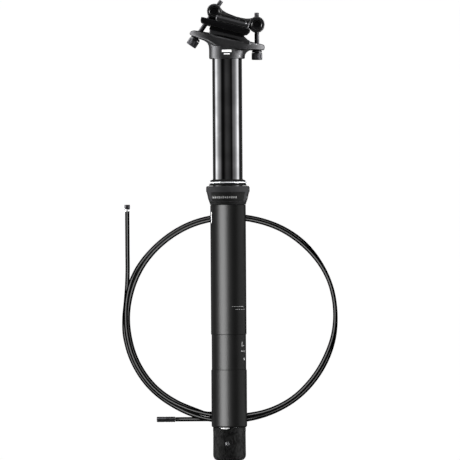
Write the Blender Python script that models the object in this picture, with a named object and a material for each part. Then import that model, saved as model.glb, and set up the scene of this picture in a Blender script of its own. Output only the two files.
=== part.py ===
"""Dropper seatpost lying on its side, with its control cable housing coiled under it.

Everything is modelled standing up, in the post frame: +Z up the post from the bottom of the base
cap, +X to the front of the bicycle, -Y to the side that faces up once the post lies down. One empty,
post_frame, then lays the whole assembly down: the post runs along world +Y, and the side of the
saddle clamp rests on the ground plane, z = 0.
"""

from math import asin, cos, degrees, pi, radians, sin, sqrt, tan

import bmesh
import bpy
from mathutils import Vector

for old in list(bpy.data.objects):
    bpy.data.objects.remove(old, do_unlink=True)

MM = 0.001

# Clearances
GAP = 0.3 * MM  # between pieces that touch on the real post
RUNNING_GAP = 0.35 * MM  # between pieces that slide or turn on each other

# Travel, and the lengths that follow from it
TRAVEL = 100.0 * MM
SPARE_EXPOSED = 7.2 * MM  # stanchion still showing when the post is fully down
HOUSING_TOP = 46.0 * MM
STANCHION_BOTTOM = HOUSING_TOP + TRAVEL + 4.0 * MM

# Outer tube
TUBE_R = 15.8 * MM
TUBE_WALL = 1.5 * MM
TUBE_BORE_R = TUBE_R - TUBE_WALL
TUBE_BOTTOM = 29.6 * MM
TUBE_TOP = STANCHION_BOTTOM + 77.4 * MM
RELIEF_R = TUBE_R - 0.5 * MM
RELIEF_BOTTOM = 81.0 * MM
RELIEF_TOP = 112.1 * MM
EDGE_CHAMFER = 1.2 * MM
THREAD_NECK_R = TUBE_R - 0.85 * MM
NECK_TOP = TUBE_TOP + 10.5 * MM

# Stanchion, its bushes and its keys
STANCHION_R = TUBE_BORE_R - 1.05 * MM
STANCHION_WALL = 1.35 * MM
STANCHION_BORE_R = STANCHION_R - STANCHION_WALL
STANCHION_FIT_R = STANCHION_R + GAP
KEY_COUNT = 3
KEY_WIDTH = 2.4 * MM
KEY_LENGTH = 14.0 * MM
KEYWAY_R = THREAD_NECK_R - 0.2 * MM
KEY_OUT_R = KEYWAY_R - GAP
KEY_BOTTOM = STANCHION_BOTTOM + 5.0 * MM
LOWER_BUSH_BOTTOM = KEY_BOTTOM + KEY_LENGTH + 3.0 * MM
LOWER_BUSH_LENGTH = 12.0 * MM
UPPER_BUSH_BOTTOM = TUBE_TOP - 24.4 * MM

# Collar and wiper seal
COLLAR_R = TUBE_R + 3.6 * MM
COLLAR_HEIGHT = 16.9 * MM
COLLAR_BOTTOM = TUBE_TOP + GAP
COLLAR_TOP = TUBE_TOP + COLLAR_HEIGHT
COLLAR_PANELS = 3
COLLAR_PANEL_ANGLE = radians(104)
COLLAR_PANEL_DEPTH = 0.45 * MM
SEAL_OUT_R = TUBE_R + 0.2 * MM
WIPER_BOTTOM = COLLAR_TOP + GAP
WIPER_TOP = COLLAR_TOP + 5.9 * MM
WIPER_RING_R = TUBE_R + 1.35 * MM
WIPER_WIRE_R = 0.55 * MM

# Head
HEAD_BOTTOM = WIPER_TOP + TRAVEL + SPARE_EXPOSED
HEAD_CUP_R = STANCHION_R + 2.75 * MM
HEAD_CUP_HEIGHT = 13.1 * MM
HEAD_SOCKET_DEPTH = 14.9 * MM
DECK_HALF_WIDTH = HEAD_CUP_R
DECK_END_R = 7.6 * MM
TROUGH_HALF_WIDTH = 14.0 * MM
STANCHION_TOP = HEAD_BOTTOM + HEAD_SOCKET_DEPTH - GAP

# Hydraulic cartridge
CARTRIDGE_R = STANCHION_BORE_R - 1.1 * MM
CARTRIDGE_WALL = 1.0 * MM
CARTRIDGE_BOTTOM = STANCHION_BOTTOM + 2.0 * MM
CARTRIDGE_TOP = HEAD_BOTTOM - 7.4 * MM
ROD_R = 4.5 * MM
ROD_BOTTOM = 36.0 * MM
ROD_BORE_R = 1.7 * MM
ROD_BORE_LENGTH = 40.0 * MM

# Base: actuator housing, lever, valve pin and rubber cap
CAP_R = TUBE_R - 1.2 * MM
CAP_WALL = 1.6 * MM
CAP_FLOOR = 2.0 * MM
CAP_CORNER = 5.0 * MM
CABLE_HOLE_R = 3.2 * MM
CABLE_X = -7.0 * MM
HOUSING_BOTTOM = 8.0 * MM
HOUSING_NECK_R = CAP_R - CAP_WALL - GAP
LEVER_Z = 13.0 * MM
LEVER_THICKNESS = 4.0 * MM
LEVER_WIDTH = 4.4 * MM
LEVER_PIVOT_X = 8.0 * MM
LEVER_TURN = radians(10)
LEVER_PIN_R = 1.2 * MM
LEVER_PIN_HALF = 8.0 * MM
SLOT_HALF = LEVER_WIDTH / 2 + RUNNING_GAP
SLOT_TOP = LEVER_Z + LEVER_THICKNESS / 2 + (LEVER_PIVOT_X - CABLE_X + 3 * MM) * tan(LEVER_TURN) + GAP
VALVE_PIN_R = 1.2 * MM
PIN_FOOT_R = 2.9 * MM
PIN_FOOT = LEVER_Z + LEVER_THICKNESS / 2 + GAP
PIN_FOOT_HEIGHT = 1.6 * MM
PIN_FOOT_DOME = 0.55 * MM
SPRING_R = 2.4 * MM
SPRING_WIRE_R = 0.35 * MM
SPRING_SEAT = 31.0 * MM
SPRING_TURNS = 4
SCREW_X = -1.6 * MM
SCREW_Z = 15.3 * MM
SCREW_R = 1.75 * MM
SCREW_DEPTH = 8.0 * MM
RIM_NOTCH_X = (-8.0 * MM, -0.2 * MM)
RIM_NOTCH_DEPTH = 1.0 * MM

# Bolts, measured along their own axes from the centre of their barrel nut
BOLT_R = 2.1 * MM
BOLT_HOLE_R = BOLT_R + 0.65 * MM
BOLT_HEAD_R = BOLT_R + 2.65 * MM
BOLT_HEAD_LENGTH = 6.4 * MM
BOLT_SOCKET_R = 2.4 * MM
BOLT_SOCKET_DEPTH = 3.5 * MM
FRONT_BOLT = dict(lean=0.0, tip=10.7 * MM, length=42.1 * MM, washer=3.4 * MM)
REAR_BOLT = dict(lean=radians(34.6), tip=11.4 * MM, length=48.5 * MM, washer=2.1 * MM)

# Saddle clamp, in its own frame: u along the rails, v square to them, tilt about the rail plane
CLAMP_Z = HEAD_BOTTOM + 32.9 * MM
CLAMP_TILT = radians(15)
CLAMP_HALF_WIDTH = 25.4 * MM
CRADLE_TOP = -1.7 * MM
RAIL_SPACING = 43.0 * MM
RAIL_GROOVE_R = 3.6 * MM
RAIL_AXIS_V = -0.4 * MM
KEEL_R = 10.4 * MM
KEEL_HALF_WIDTH = TROUGH_HALF_WIDTH - 2.1 * MM
CHEEK_THICKNESS = 1.5 * MM
REAR_BARREL = (-13.2 * MM, 6.3 * MM)
FRONT_BARREL = (26.4 * MM, 4.4 * MM)
REAR_HOUSING_R = 6.5 * MM
FRONT_HOUSING_R = 7.0 * MM
HOUSING_HALF_LENGTH = 14.0 * MM
NUT_R = BOLT_R + 2.1 * MM
NUT_INSET = 1.4 * MM

# Cable housing, coiled flat on the ground under the post
CABLE_R = 1.95 * MM
COIL_CENTRE = (0.2 * MM, 126.4 * MM)  # x and height up the post
COIL_INNER_R = 85.1 * MM
COIL_OUTER_R = 97.2 * MM
FERRULE_R = 2.5 * MM

AXIS_HEIGHT = CLAMP_HALF_WIDTH  # the clamp's side lies on the ground
COIL_HEIGHT = min(8.3 * MM, AXIS_HEIGHT - TUBE_R - 1.3 * MM)  # clears the tube above it
POST_LENGTH = HEAD_BOTTOM + 52.5 * MM  # up to the tip of the rear bolt

ROUND = 36  # sides of the large turned pieces
SMALL_ROUND = 20  # sides of bolts, pins and nuts


def material(name, colour, roughness, metallic=0.0):
    made = bpy.data.materials.new(name)
    made.use_nodes = True
    shader = made.node_tree.nodes["Principled BSDF"]
    shader.inputs["Base Color"].default_value = (*colour, 1.0)
    shader.inputs["Roughness"].default_value = roughness
    shader.inputs["Metallic"].default_value = metallic
    return made


ANODISED = material("black_anodised_aluminium", (0.012, 0.012, 0.013), 0.32, 0.6)
SATIN = material("satin_black_aluminium", (0.018, 0.018, 0.019), 0.45, 0.6)
BARE = material("bare_aluminium", (0.62, 0.62, 0.64), 0.3, 1.0)
STEEL = material("black_steel", (0.02, 0.02, 0.022), 0.35, 0.8)
BRIGHT = material("bright_steel", (0.6, 0.6, 0.62), 0.22, 1.0)
BRASS = material("brass", (0.6, 0.42, 0.16), 0.3, 1.0)
RUBBER = material("black_rubber", (0.015, 0.015, 0.015), 0.7)
NYLON = material("grey_nylon", (0.2, 0.2, 0.2), 0.5)
FOAM = material("oiled_foam", (0.1, 0.1, 0.09), 0.9)
JACKET = material("black_cable_jacket", (0.012, 0.012, 0.012), 0.3)


def empty(name, parent=None, location=(0, 0, 0), turn_y=0.0):
    made = bpy.data.objects.new(name, None)
    bpy.context.collection.objects.link(made)
    made.parent = parent
    made.location = location
    made.rotation_euler = (0, turn_y, 0)
    return made


POST = empty("post_frame", None, (0, -POST_LENGTH / 2, AXIS_HEIGHT))
POST.rotation_euler = (-pi / 2, 0, 0)
SLIDE = empty("drop_slide", POST)
CLAMP = empty("clamp_tilt", SLIDE, (0, 0, CLAMP_Z), CLAMP_TILT)
LEVER = empty("lever_axis", POST, (LEVER_PIVOT_X, 0, LEVER_Z))


def finish(mesh_data, name, finish_material, parent):
    """Makes an object of a bmesh, with its faces pointing out and its round sides smooth."""
    bmesh.ops.recalc_face_normals(mesh_data, faces=mesh_data.faces)
    mesh = bpy.data.meshes.new(name)
    mesh_data.to_mesh(mesh)
    mesh_data.free()
    mesh.shade_smooth()
    mesh.set_sharp_from_angle(angle=radians(35))
    if finish_material:
        mesh.materials.append(finish_material)
    made = bpy.data.objects.new(name, mesh)
    bpy.context.collection.objects.link(made)
    made.parent = parent
    return made


def turned(name, profile, finish_material=None, parent=POST, sides=ROUND, radius_at=None):
    """A profile of (radius, height) points turned about Z. It is a closed loop, unless both its ends
    are on the axis. radius_at(radius, height, angle) may change a point's radius around the turn."""
    work = bmesh.new()
    rings = []
    for radius, height in profile:
        if radius < 1e-7:
            rings.append([work.verts.new((0, 0, height))])
            continue
        ring = []
        for step in range(sides):
            angle = 2 * pi * step / sides
            r = radius_at(radius, height, angle) if radius_at else radius
            ring.append(work.verts.new((r * cos(angle), r * sin(angle), height)))
        rings.append(ring)
    on_axis = len(rings[0]) == 1 and len(rings[-1]) == 1
    pairs = list(zip(rings, rings[1:])) + ([] if on_axis else [(rings[-1], rings[0])])
    for low, high in pairs:
        for step in range(sides):
            after = (step + 1) % sides
            corners = [low[step % len(low)], low[after % len(low)]]
            corners += [high[after % len(high)], high[step % len(high)]]
            corners = list(dict.fromkeys(corners))
            if len(corners) > 2:
                work.faces.new(corners)
    return finish(work, name, finish_material, parent)


def prism(name, outline, low, high, finish_material=None, parent=POST, along="y"):
    """An outline pulled along one axis: (x, z) points along y, (x, y) along z, or (y, z) along x."""
    place = {"y": lambda a, b, t: (a, t, b), "z": lambda a, b, t: (a, b, t), "x": lambda a, b, t: (t, a, b)}
    work = bmesh.new()
    first = [work.verts.new(place[along](a, b, low)) for a, b in outline]
    last = [work.verts.new(place[along](a, b, high)) for a, b in outline]
    work.faces.new(first)
    work.faces.new(last)
    for i, corner in enumerate(first):
        j = (i + 1) % len(first)
        work.faces.new((corner, first[j], last[j], last[i]))
    return finish(work, name, finish_material, parent)


def rod(name, radius, low, high, finish_material=None, parent=POST, sides=SMALL_ROUND, along="z"):
    """A plain round bar along z, or along y through its parent's origin."""
    made = turned(name, [(0, low), (radius, low), (radius, high), (0, high)], finish_material, parent, sides)
    if along == "y":
        made.rotation_euler = (pi / 2, 0, 0)
    return made


def boolean(target, tool, operation="DIFFERENCE"):
    """Cuts, joins or crosses target with tool, and hides the tool."""
    tool.hide_render = True
    tool.display_type = "WIRE"
    change = target.modifiers.new(tool.name, "BOOLEAN")
    change.operation = operation
    change.object = tool
    return target


def arc(centre, radius, start, end, steps):
    """Points round part of a circle, between two angles in degrees."""
    turn = [radians(start + (end - start) * i / steps) for i in range(steps + 1)]
    return [(centre[0] + radius * cos(a), centre[1] + radius * sin(a)) for a in turn]


def from_clamp(point):
    """Where a clamp frame point (u, v) is in the post frame, as (x, z)."""
    u, v = point
    x = u * cos(CLAMP_TILT) + v * sin(CLAMP_TILT)
    return x, CLAMP_Z - u * sin(CLAMP_TILT) + v * cos(CLAMP_TILT)


# ---------------------------------------------------------------- base
def base_cap():
    corner = arc((CAP_R - CAP_CORNER, CAP_CORNER), CAP_CORNER, -90, 0, 4)
    rim = TUBE_BOTTOM - GAP
    inside = CAP_R - CAP_WALL
    profile = [(0, 0)] + corner + [(CAP_R, rim), (inside, rim)]
    profile += [(inside, CAP_CORNER), (inside - 2 * MM, CAP_FLOOR), (0, CAP_FLOOR)]
    cap = turned("base_cap", profile, RUBBER)
    hole = rod("cable_hole", CABLE_HOLE_R, -CAP_FLOOR, 2 * CAP_FLOOR)
    hole.location.x = CABLE_X
    boolean(cap, hole)
    screw_hole = rod("cap_screw_hole", SCREW_R + GAP, 0, 2 * CAP_R, along="y")
    screw_hole.location = (SCREW_X, 0, SCREW_Z)
    boolean(cap, screw_hole)
    low, high = RIM_NOTCH_X
    notch = prism("rim_notch", [(low, 0), (high, 0), (high, 2 * MM), (low, 2 * MM)], -2 * CAP_R, 0)
    notch.location.z = rim - RIM_NOTCH_DEPTH
    boolean(cap, notch)


def actuator_housing():
    """Plug in the end of the tube, with a slotted skirt for the lever and a socket for the rod."""
    flange = TUBE_BOTTOM + GAP
    profile = [(0, HOUSING_BOTTOM), (HOUSING_NECK_R, HOUSING_BOTTOM), (HOUSING_NECK_R, flange)]
    plug_r = TUBE_BORE_R - GAP
    profile += [(plug_r, flange), (plug_r, HOUSING_TOP), (0, HOUSING_TOP)]
    housing = turned("actuator_housing", profile, BARE)
    slot = [(-CAP_R, 0), (CAP_R, 0), (CAP_R, SLOT_TOP), (-CAP_R, SLOT_TOP)]
    boolean(housing, prism("lever_slot", slot, -SLOT_HALF, SLOT_HALF))
    boolean(housing, rod("pin_bore", VALVE_PIN_R + RUNNING_GAP, 0, 2 * HOUSING_TOP))
    boolean(housing, rod("spring_bore", SPRING_R + SPRING_WIRE_R + GAP, 0, SPRING_SEAT))
    boolean(housing, rod("rod_socket", ROD_R + GAP, ROD_BOTTOM - GAP, 2 * HOUSING_TOP))
    screw_hole = rod("housing_screw_hole", SCREW_R + GAP, SCREW_DEPTH - GAP, 2 * CAP_R, along="y")
    screw_hole.location = (SCREW_X, 0, SCREW_Z)
    boolean(housing, screw_hole)
    pin_reach = LEVER_PIN_HALF + GAP
    pin_hole = rod("lever_pin_hole", LEVER_PIN_R + GAP, -pin_reach, pin_reach, along="y")
    pin_hole.location = (LEVER_PIVOT_X, 0, LEVER_Z)
    boolean(housing, pin_hole)


def cap_screw():
    screw = rod("cap_screw", SCREW_R, SCREW_DEPTH, CAP_R - GAP, BRIGHT, along="y")
    screw.location = (SCREW_X, 0, SCREW_Z)


def actuator_lever():
    """Flat arm on the pivot pin: the cable pulls its far end and its middle lifts the valve pin."""
    reach = LEVER_PIVOT_X - CABLE_X + 2.6 * MM
    half = LEVER_THICKNESS / 2
    outline = arc((0, 0), half, 90, -90, 8) + [(-reach, -half), (-reach, half)]
    lever = prism("actuator_lever", outline, -LEVER_WIDTH / 2, LEVER_WIDTH / 2, BRIGHT, LEVER)
    boolean(lever, rod("lever_bore", LEVER_PIN_R + RUNNING_GAP, -CAP_R, CAP_R, None, LEVER, along="y"))
    anchor_x = CABLE_X - LEVER_PIVOT_X
    seat = prism("anchor_slot", [(anchor_x - 1.6 * MM, -CAP_R), (anchor_x + 1.6 * MM, -CAP_R),
                                 (anchor_x + 1.6 * MM, 0.6 * MM), (anchor_x - 1.6 * MM, 0.6 * MM)],
                 -CAP_R, CAP_R, None, LEVER)
    boolean(lever, seat)
    anchor = rod("cable_anchor", 1.25 * MM, -LEVER_WIDTH / 2, LEVER_WIDTH / 2, BRASS, LEVER, along="y")
    anchor.location = (anchor_x, 0, -1.0 * MM)
    pin = rod("lever_pivot_pin", LEVER_PIN_R, -LEVER_PIN_HALF, LEVER_PIN_HALF, STEEL, POST, along="y")
    pin.location = (LEVER_PIVOT_X, 0, LEVER_Z)


def valve_pin():
    top = ROD_BOTTOM + ROD_BORE_LENGTH - 4 * MM
    shoulder = PIN_FOOT + PIN_FOOT_HEIGHT
    # The foot is domed, so that the tilting lever rolls on it
    dome = [(0.4 * PIN_FOOT_R, PIN_FOOT + 0.05 * MM), (PIN_FOOT_R, PIN_FOOT + PIN_FOOT_DOME)]
    profile = [(0, PIN_FOOT)] + dome
    profile += [(PIN_FOOT_R, shoulder), (VALVE_PIN_R, shoulder)]
    profile += [(VALVE_PIN_R, top), (0, top)]
    turned("valve_pin", profile, BRIGHT, sides=SMALL_ROUND)


def return_spring():
    """Round wire wound between the valve pin's foot and its seat in the housing."""
    low = PIN_FOOT + PIN_FOOT_HEIGHT + SPRING_WIRE_R + GAP
    high = SPRING_SEAT - SPRING_WIRE_R - GAP
    curve = bpy.data.curves.new("return_spring", "CURVE")
    curve.dimensions = "3D"
    curve.bevel_depth = SPRING_WIRE_R
    curve.bevel_resolution = 0
    curve.use_fill_caps = True
    curve.materials.append(BRIGHT)
    path = curve.splines.new("POLY")
    steps = 12 * SPRING_TURNS
    path.points.add(steps)
    for i in range(steps + 1):
        angle = 2 * pi * i * SPRING_TURNS / steps
        height = low + (high - low) * i / steps
        path.points[i].co = (SPRING_R * cos(angle), SPRING_R * sin(angle), height, 1)
    made = bpy.data.objects.new("return_spring", curve)
    bpy.context.collection.objects.link(made)
    made.parent = POST


# ---------------------------------------------------------------- outer tube, collar and seals
def outer_tube():
    step = 0.5 * MM
    outer = [(TUBE_R - EDGE_CHAMFER, TUBE_BOTTOM), (TUBE_R, TUBE_BOTTOM + EDGE_CHAMFER)]
    outer += [(TUBE_R, RELIEF_BOTTOM - step), (RELIEF_R, RELIEF_BOTTOM)]
    outer += [(RELIEF_R, RELIEF_TOP), (TUBE_R, RELIEF_TOP + step)]
    outer += [(TUBE_R, TUBE_TOP), (THREAD_NECK_R, TUBE_TOP), (THREAD_NECK_R, NECK_TOP)]
    tube = turned("outer_tube", outer + [(TUBE_BORE_R, NECK_TOP), (TUBE_BORE_R, TUBE_BOTTOM)], ANODISED)
    low = KEY_BOTTOM - TRAVEL - 2 * MM
    half = KEY_WIDTH / 2 + RUNNING_GAP
    for i in range(KEY_COUNT):
        # A keyway for each key, which stops below the upper bush
        high = UPPER_BUSH_BOTTOM - 2 * MM
        groove = [(0, low), (KEYWAY_R, low), (KEYWAY_R, high), (0, high)]
        cutter = prism(f"keyway_{i + 1}", groove, -half, half)
        cutter.rotation_euler.z = 2 * pi * i / KEY_COUNT + pi / 2
        boolean(tube, cutter)


def collar():
    """Screwed ring with flat-bottomed finger panels sunk into its taper."""
    lowest, taper = 1.2 * MM, COLLAR_HEIGHT - 5.3 * MM
    outer = [(0.2, 0), (0.45, 1.8), (1.3, 2.7), (2.35, 4.4), (2.8, 6.2), (3.15, 8.0), (3.4, 9.0)]
    profile = [(TUBE_R + r * MM, COLLAR_BOTTOM + h * MM) for r, h in outer]
    profile += [(TUBE_R + 3.55 * MM, COLLAR_BOTTOM + taper), (COLLAR_R, COLLAR_BOTTOM + taper + lowest)]
    profile += [(COLLAR_R, COLLAR_TOP - 0.9 * MM), (COLLAR_R - 0.6 * MM, COLLAR_TOP - 0.2 * MM)]
    profile += [(COLLAR_R - 1.4 * MM, COLLAR_TOP), (SEAL_OUT_R, COLLAR_TOP)]
    lip = NECK_TOP + GAP
    profile += [(SEAL_OUT_R, lip), (THREAD_NECK_R + GAP, lip), (THREAD_NECK_R + GAP, COLLAR_BOTTOM)]
    low, high = COLLAR_BOTTOM + 3.3 * MM, COLLAR_BOTTOM + taper - 0.6 * MM

    def panelled(radius, height, angle):
        if radius < TUBE_R + GAP or not low < height < high:
            return radius
        pitch = 2 * pi / COLLAR_PANELS
        off = abs((angle + pi / 2 + pitch / 2) % pitch - pitch / 2)
        return radius - (COLLAR_PANEL_DEPTH if off < COLLAR_PANEL_ANGLE / 2 else 0)

    turned("collar", profile, SATIN, sides=60, radius_at=panelled)


def wiper_seal():
    """Rubber lip seal, waisted where its spring ring sits."""
    outer = [(1.1, 0), (0.75, 1.1), (0.1, 1.9), (0.1, 3.5), (0.3, 4.0), (-0.7, 4.9)]
    profile = [(STANCHION_FIT_R, WIPER_BOTTOM)] + [(TUBE_R + r * MM, WIPER_BOTTOM + h * MM) for r, h in outer]
    profile += [(STANCHION_FIT_R + 0.25 * MM, WIPER_TOP), (STANCHION_FIT_R, WIPER_TOP - 0.3 * MM)]
    turned("wiper_seal", profile, RUBBER)
    centre = (WIPER_RING_R - WIPER_WIRE_R, WIPER_BOTTOM + 2.7 * MM)
    turned("wiper_ring", arc(centre, WIPER_WIRE_R, 0, 315, 7), BRIGHT)


def seals_and_bush():
    bush_out = TUBE_BORE_R - GAP
    low, high = UPPER_BUSH_BOTTOM, NECK_TOP
    turned("upper_bush", [(STANCHION_FIT_R, low), (bush_out, low), (bush_out, high), (STANCHION_FIT_R, high)],
           NYLON)
    low, high = NECK_TOP + 2 * GAP, COLLAR_TOP - GAP
    outer = SEAL_OUT_R - GAP
    turned("foam_ring", [(STANCHION_FIT_R, low), (outer, low), (outer, high), (STANCHION_FIT_R, high)], FOAM)


# ---------------------------------------------------------------- stanchion and cartridge
def stanchion():
    bevel = 0.5 * MM
    profile = [(STANCHION_BORE_R, STANCHION_BOTTOM), (STANCHION_R - bevel, STANCHION_BOTTOM)]
    profile += [(STANCHION_R, STANCHION_BOTTOM + bevel), (STANCHION_R, STANCHION_TOP)]
    tube = turned("stanchion", profile + [(STANCHION_BORE_R, STANCHION_TOP)], ANODISED, SLIDE)
    half, top = KEY_WIDTH / 2, KEY_BOTTOM + KEY_LENGTH
    inside = STANCHION_BORE_R + 0.2 * MM
    for i in range(KEY_COUNT):
        turn = 2 * pi * i / KEY_COUNT + pi / 2
        window = [(inside - 2 * MM, KEY_BOTTOM - GAP), (TUBE_R, KEY_BOTTOM - GAP),
                  (TUBE_R, top + GAP), (inside - 2 * MM, top + GAP)]
        cutter = prism(f"key_window_{i + 1}", window, -half - GAP, half + GAP, None, SLIDE)
        cutter.rotation_euler.z = turn
        boolean(tube, cutter)
        block = [(inside, KEY_BOTTOM), (KEY_OUT_R, KEY_BOTTOM), (KEY_OUT_R, top), (inside, top)]
        key = prism(f"key_{i + 1}", block, -half, half, BRASS, SLIDE)
        key.rotation_euler.z = turn
    outer = TUBE_BORE_R - RUNNING_GAP
    low, high = LOWER_BUSH_BOTTOM, LOWER_BUSH_BOTTOM + LOWER_BUSH_LENGTH
    turned("lower_bush", [(STANCHION_FIT_R, low), (outer, low), (outer, high), (STANCHION_FIT_R, high)],
           NYLON, SLIDE)


def cartridge():
    """Locking cartridge: its body hangs in the stanchion, its rod stands in the actuator housing."""
    bore = CARTRIDGE_R - CARTRIDGE_WALL
    crown = CARTRIDGE_TOP - 3 * MM
    profile = [(0, crown), (bore, crown), (bore, CARTRIDGE_BOTTOM), (CARTRIDGE_R, CARTRIDGE_BOTTOM)]
    profile += [(CARTRIDGE_R, CARTRIDGE_TOP), (0, CARTRIDGE_TOP)]
    turned("cartridge_body", profile, BARE, SLIDE, 32)
    gland_top = CARTRIDGE_BOTTOM + 8 * MM
    hole = ROD_R + RUNNING_GAP
    low = CARTRIDGE_BOTTOM + GAP
    turned("rod_gland", [(hole, low), (bore - GAP, low), (bore - GAP, gland_top), (hole, gland_top)],
           NYLON, SLIDE, 32)
    low, high = CARTRIDGE_TOP + GAP, STANCHION_TOP
    cap_r = STANCHION_BORE_R - GAP
    turned("cartridge_top_nut", [(0, low), (cap_r, low), (cap_r, high), (0, high)], BARE, SLIDE, 32)
    rod_top = gland_top + 14 * MM
    low = ROD_BOTTOM
    bore_top = low + ROD_BORE_LENGTH
    profile = [(ROD_BORE_R, low), (ROD_R, low), (ROD_R, rod_top), (0, rod_top)]
    turned("cartridge_rod", [(0, bore_top), (ROD_BORE_R, bore_top)] + profile, BRIGHT, sides=SMALL_ROUND)
    low, high = gland_top + 3 * MM, gland_top + 11 * MM
    out = bore - RUNNING_GAP
    turned("rod_piston", [(ROD_R + GAP, low), (out, low), (out, high), (ROD_R + GAP, high)], BARE, sides=32)


# ---------------------------------------------------------------- head
class Bolt:
    """One clamp bolt: where it lies and how far up its axis everything on it sits."""

    def __init__(self, name, barrel, lean, tip, length, washer):
        self.name, self.lean, self.tip = name, lean, tip
        x, z = from_clamp(barrel)
        self.frame = empty(f"{name}_axis", SLIDE, (x, 0, z), lean)
        self.face = tip - length
        self.head_top = self.face + BOLT_HEAD_LENGTH
        self.washer_low = self.head_top + GAP
        self.seat = self.washer_low + washer + GAP
        self.centre = (x, z)

    def point(self, along, across=0.0):
        """A point along the axis from the barrel, and to its front side, in the post frame."""
        x, z = self.centre
        forward, up = sin(self.lean), cos(self.lean)
        return x + along * forward + across * up, z + along * up - across * forward


FRONT = Bolt("front_bolt", FRONT_BARREL, **FRONT_BOLT)
REAR = Bolt("rear_bolt", REAR_BARREL, **REAR_BOLT)


def deck_side():
    """Side outline of the deck, from the rear arm's tip over the top to the front arm."""
    seat_half = 5.4 * MM
    top = [(-32.2, 24.5), (-29.6, 25.6), (-24.2, 25.0), (-15.3, 23.3), (-4.5, 20.8), (5.4, 18.4)]
    top += [(19.3, 15.6), (25.2, 14.2), (31.6, 12.9), (33.3, 11.8), (33.9, 10.5)]
    outline = [(x * MM, HEAD_BOTTOM + h * MM) for x, h in top]
    outline += [FRONT.point(FRONT.seat, 1.2 * seat_half), FRONT.point(FRONT.seat, -seat_half)]
    cup = HEAD_CUP_R - 1.0 * MM
    under = [(cup + 3.2 * MM, 7.3), (cup, 5.6), (-cup, 9.1), (-cup - 2.4 * MM, 13.2)]
    outline += [(x, HEAD_BOTTOM + h * MM) for x, h in under]
    outline += [REAR.point(REAR.seat, seat_half), REAR.point(REAR.seat, -1.15 * seat_half)]
    return outline


def deck_plan():
    """Plan of the deck: a long oval with round ends at the bolts, widest over the cup."""
    rear_x, front_x = REAR.point(REAR.seat)[0], FRONT.point(FRONT.seat)[0]
    waist = DECK_HALF_WIDTH
    side = [(22 * MM, 0.68 * waist), (15.5 * MM, 0.88 * waist), (8 * MM, 0.98 * waist), (0, waist)]
    side += [(-x, y) for x, y in side[2::-1]]
    front = arc((front_x - 0.1 * MM, 0), DECK_END_R, -80, 80, 8)
    rear = arc((rear_x + 0.6 * MM, 0), DECK_END_R, 100, 260, 8)
    return front + side + rear + [(x, -y) for x, y in reversed(side)]


def head():
    """Forged head: round cup, tilted deck with an arm to each bolt, and the clamp's trough on top."""
    body = prism("head", deck_side(), -DECK_HALF_WIDTH, DECK_HALF_WIDTH, SATIN, SLIDE)
    plan = prism("deck_plan", deck_plan(), HEAD_BOTTOM, CLAMP_Z, None, SLIDE, "z")
    boolean(body, plan, "INTERSECT")
    cup_top = HEAD_BOTTOM + HEAD_CUP_HEIGHT
    cup = [(0, HEAD_BOTTOM), (HEAD_CUP_R - 0.6 * MM, HEAD_BOTTOM), (HEAD_CUP_R, HEAD_BOTTOM + 0.6 * MM)]
    cup += [(HEAD_CUP_R, cup_top), (0, cup_top)]
    boolean(body, turned("head_cup", cup, None, SLIDE), "UNION")
    block = [(-15.4, 19.6), (-15.4, 26.2), (-14.4, 26.8), (15.8, 19.6), (17.3, 18.6), (18.2, 17.0)]
    block = [(x * MM, HEAD_BOTTOM + h * MM) for x, h in block + [(20.2, 15.8), (20.2, 12.6), (0, 12.6)]]
    half = TROUGH_HALF_WIDTH
    boolean(body, prism("trough_block", block, -half, half, None, SLIDE), "UNION")
    trough = rod("trough", KEEL_R + RUNNING_GAP, -KEEL_HALF_WIDTH - RUNNING_GAP, KEEL_HALF_WIDTH + RUNNING_GAP,
                 None, SLIDE, ROUND, "y")
    trough.location.z = CLAMP_Z
    boolean(body, trough)
    low, high = HEAD_BOTTOM - CAP_FLOOR, HEAD_BOTTOM + HEAD_SOCKET_DEPTH
    boolean(body, rod("head_socket", STANCHION_R + GAP, low, high, None, SLIDE, ROUND))
    for bolt in (FRONT, REAR):
        boolean(body, rod(f"{bolt.name}_deck_hole", BOLT_HOLE_R, bolt.face, -4 * MM, None, bolt.frame))


def bolts():
    for bolt in (FRONT, REAR):
        tip_bevel = 0.5 * MM
        profile = [(0, bolt.face), (BOLT_HEAD_R - 0.4 * MM, bolt.face), (BOLT_HEAD_R, bolt.face + 0.4 * MM)]
        profile += [(BOLT_HEAD_R, bolt.head_top - 0.4 * MM), (BOLT_HEAD_R - 0.4 * MM, bolt.head_top)]
        profile += [(BOLT_R, bolt.head_top), (BOLT_R, bolt.tip - tip_bevel)]
        profile += [(BOLT_R - tip_bevel, bolt.tip), (0, bolt.tip)]
        screw = turned(bolt.name, profile, STEEL, bolt.frame, 24)
        key = rod(f"{bolt.name}_socket", BOLT_SOCKET_R, bolt.face - MM, bolt.face + BOLT_SOCKET_DEPTH,
                  None, bolt.frame, 6)
        boolean(screw, key)
        hole, wide, narrow = BOLT_R + GAP, BOLT_HEAD_R - 0.2 * MM, BOLT_HEAD_R - 1.1 * MM
        low, high = bolt.washer_low, bolt.seat - GAP
        turned(f"{bolt.name}_washer", [(hole, low), (wide, low), (narrow, high), (hole, high)],
               STEEL, bolt.frame, 24)


# ---------------------------------------------------------------- saddle clamp
def rail_groove(name, side):
    groove = rod(name, RAIL_GROOVE_R, -2 * CLAMP_HALF_WIDTH, 2 * CLAMP_HALF_WIDTH, None, CLAMP, 24)
    groove.rotation_euler = (0, pi / 2, 0)
    groove.location = (0, side * RAIL_SPACING / 2, RAIL_AXIS_V)
    return groove


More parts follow.
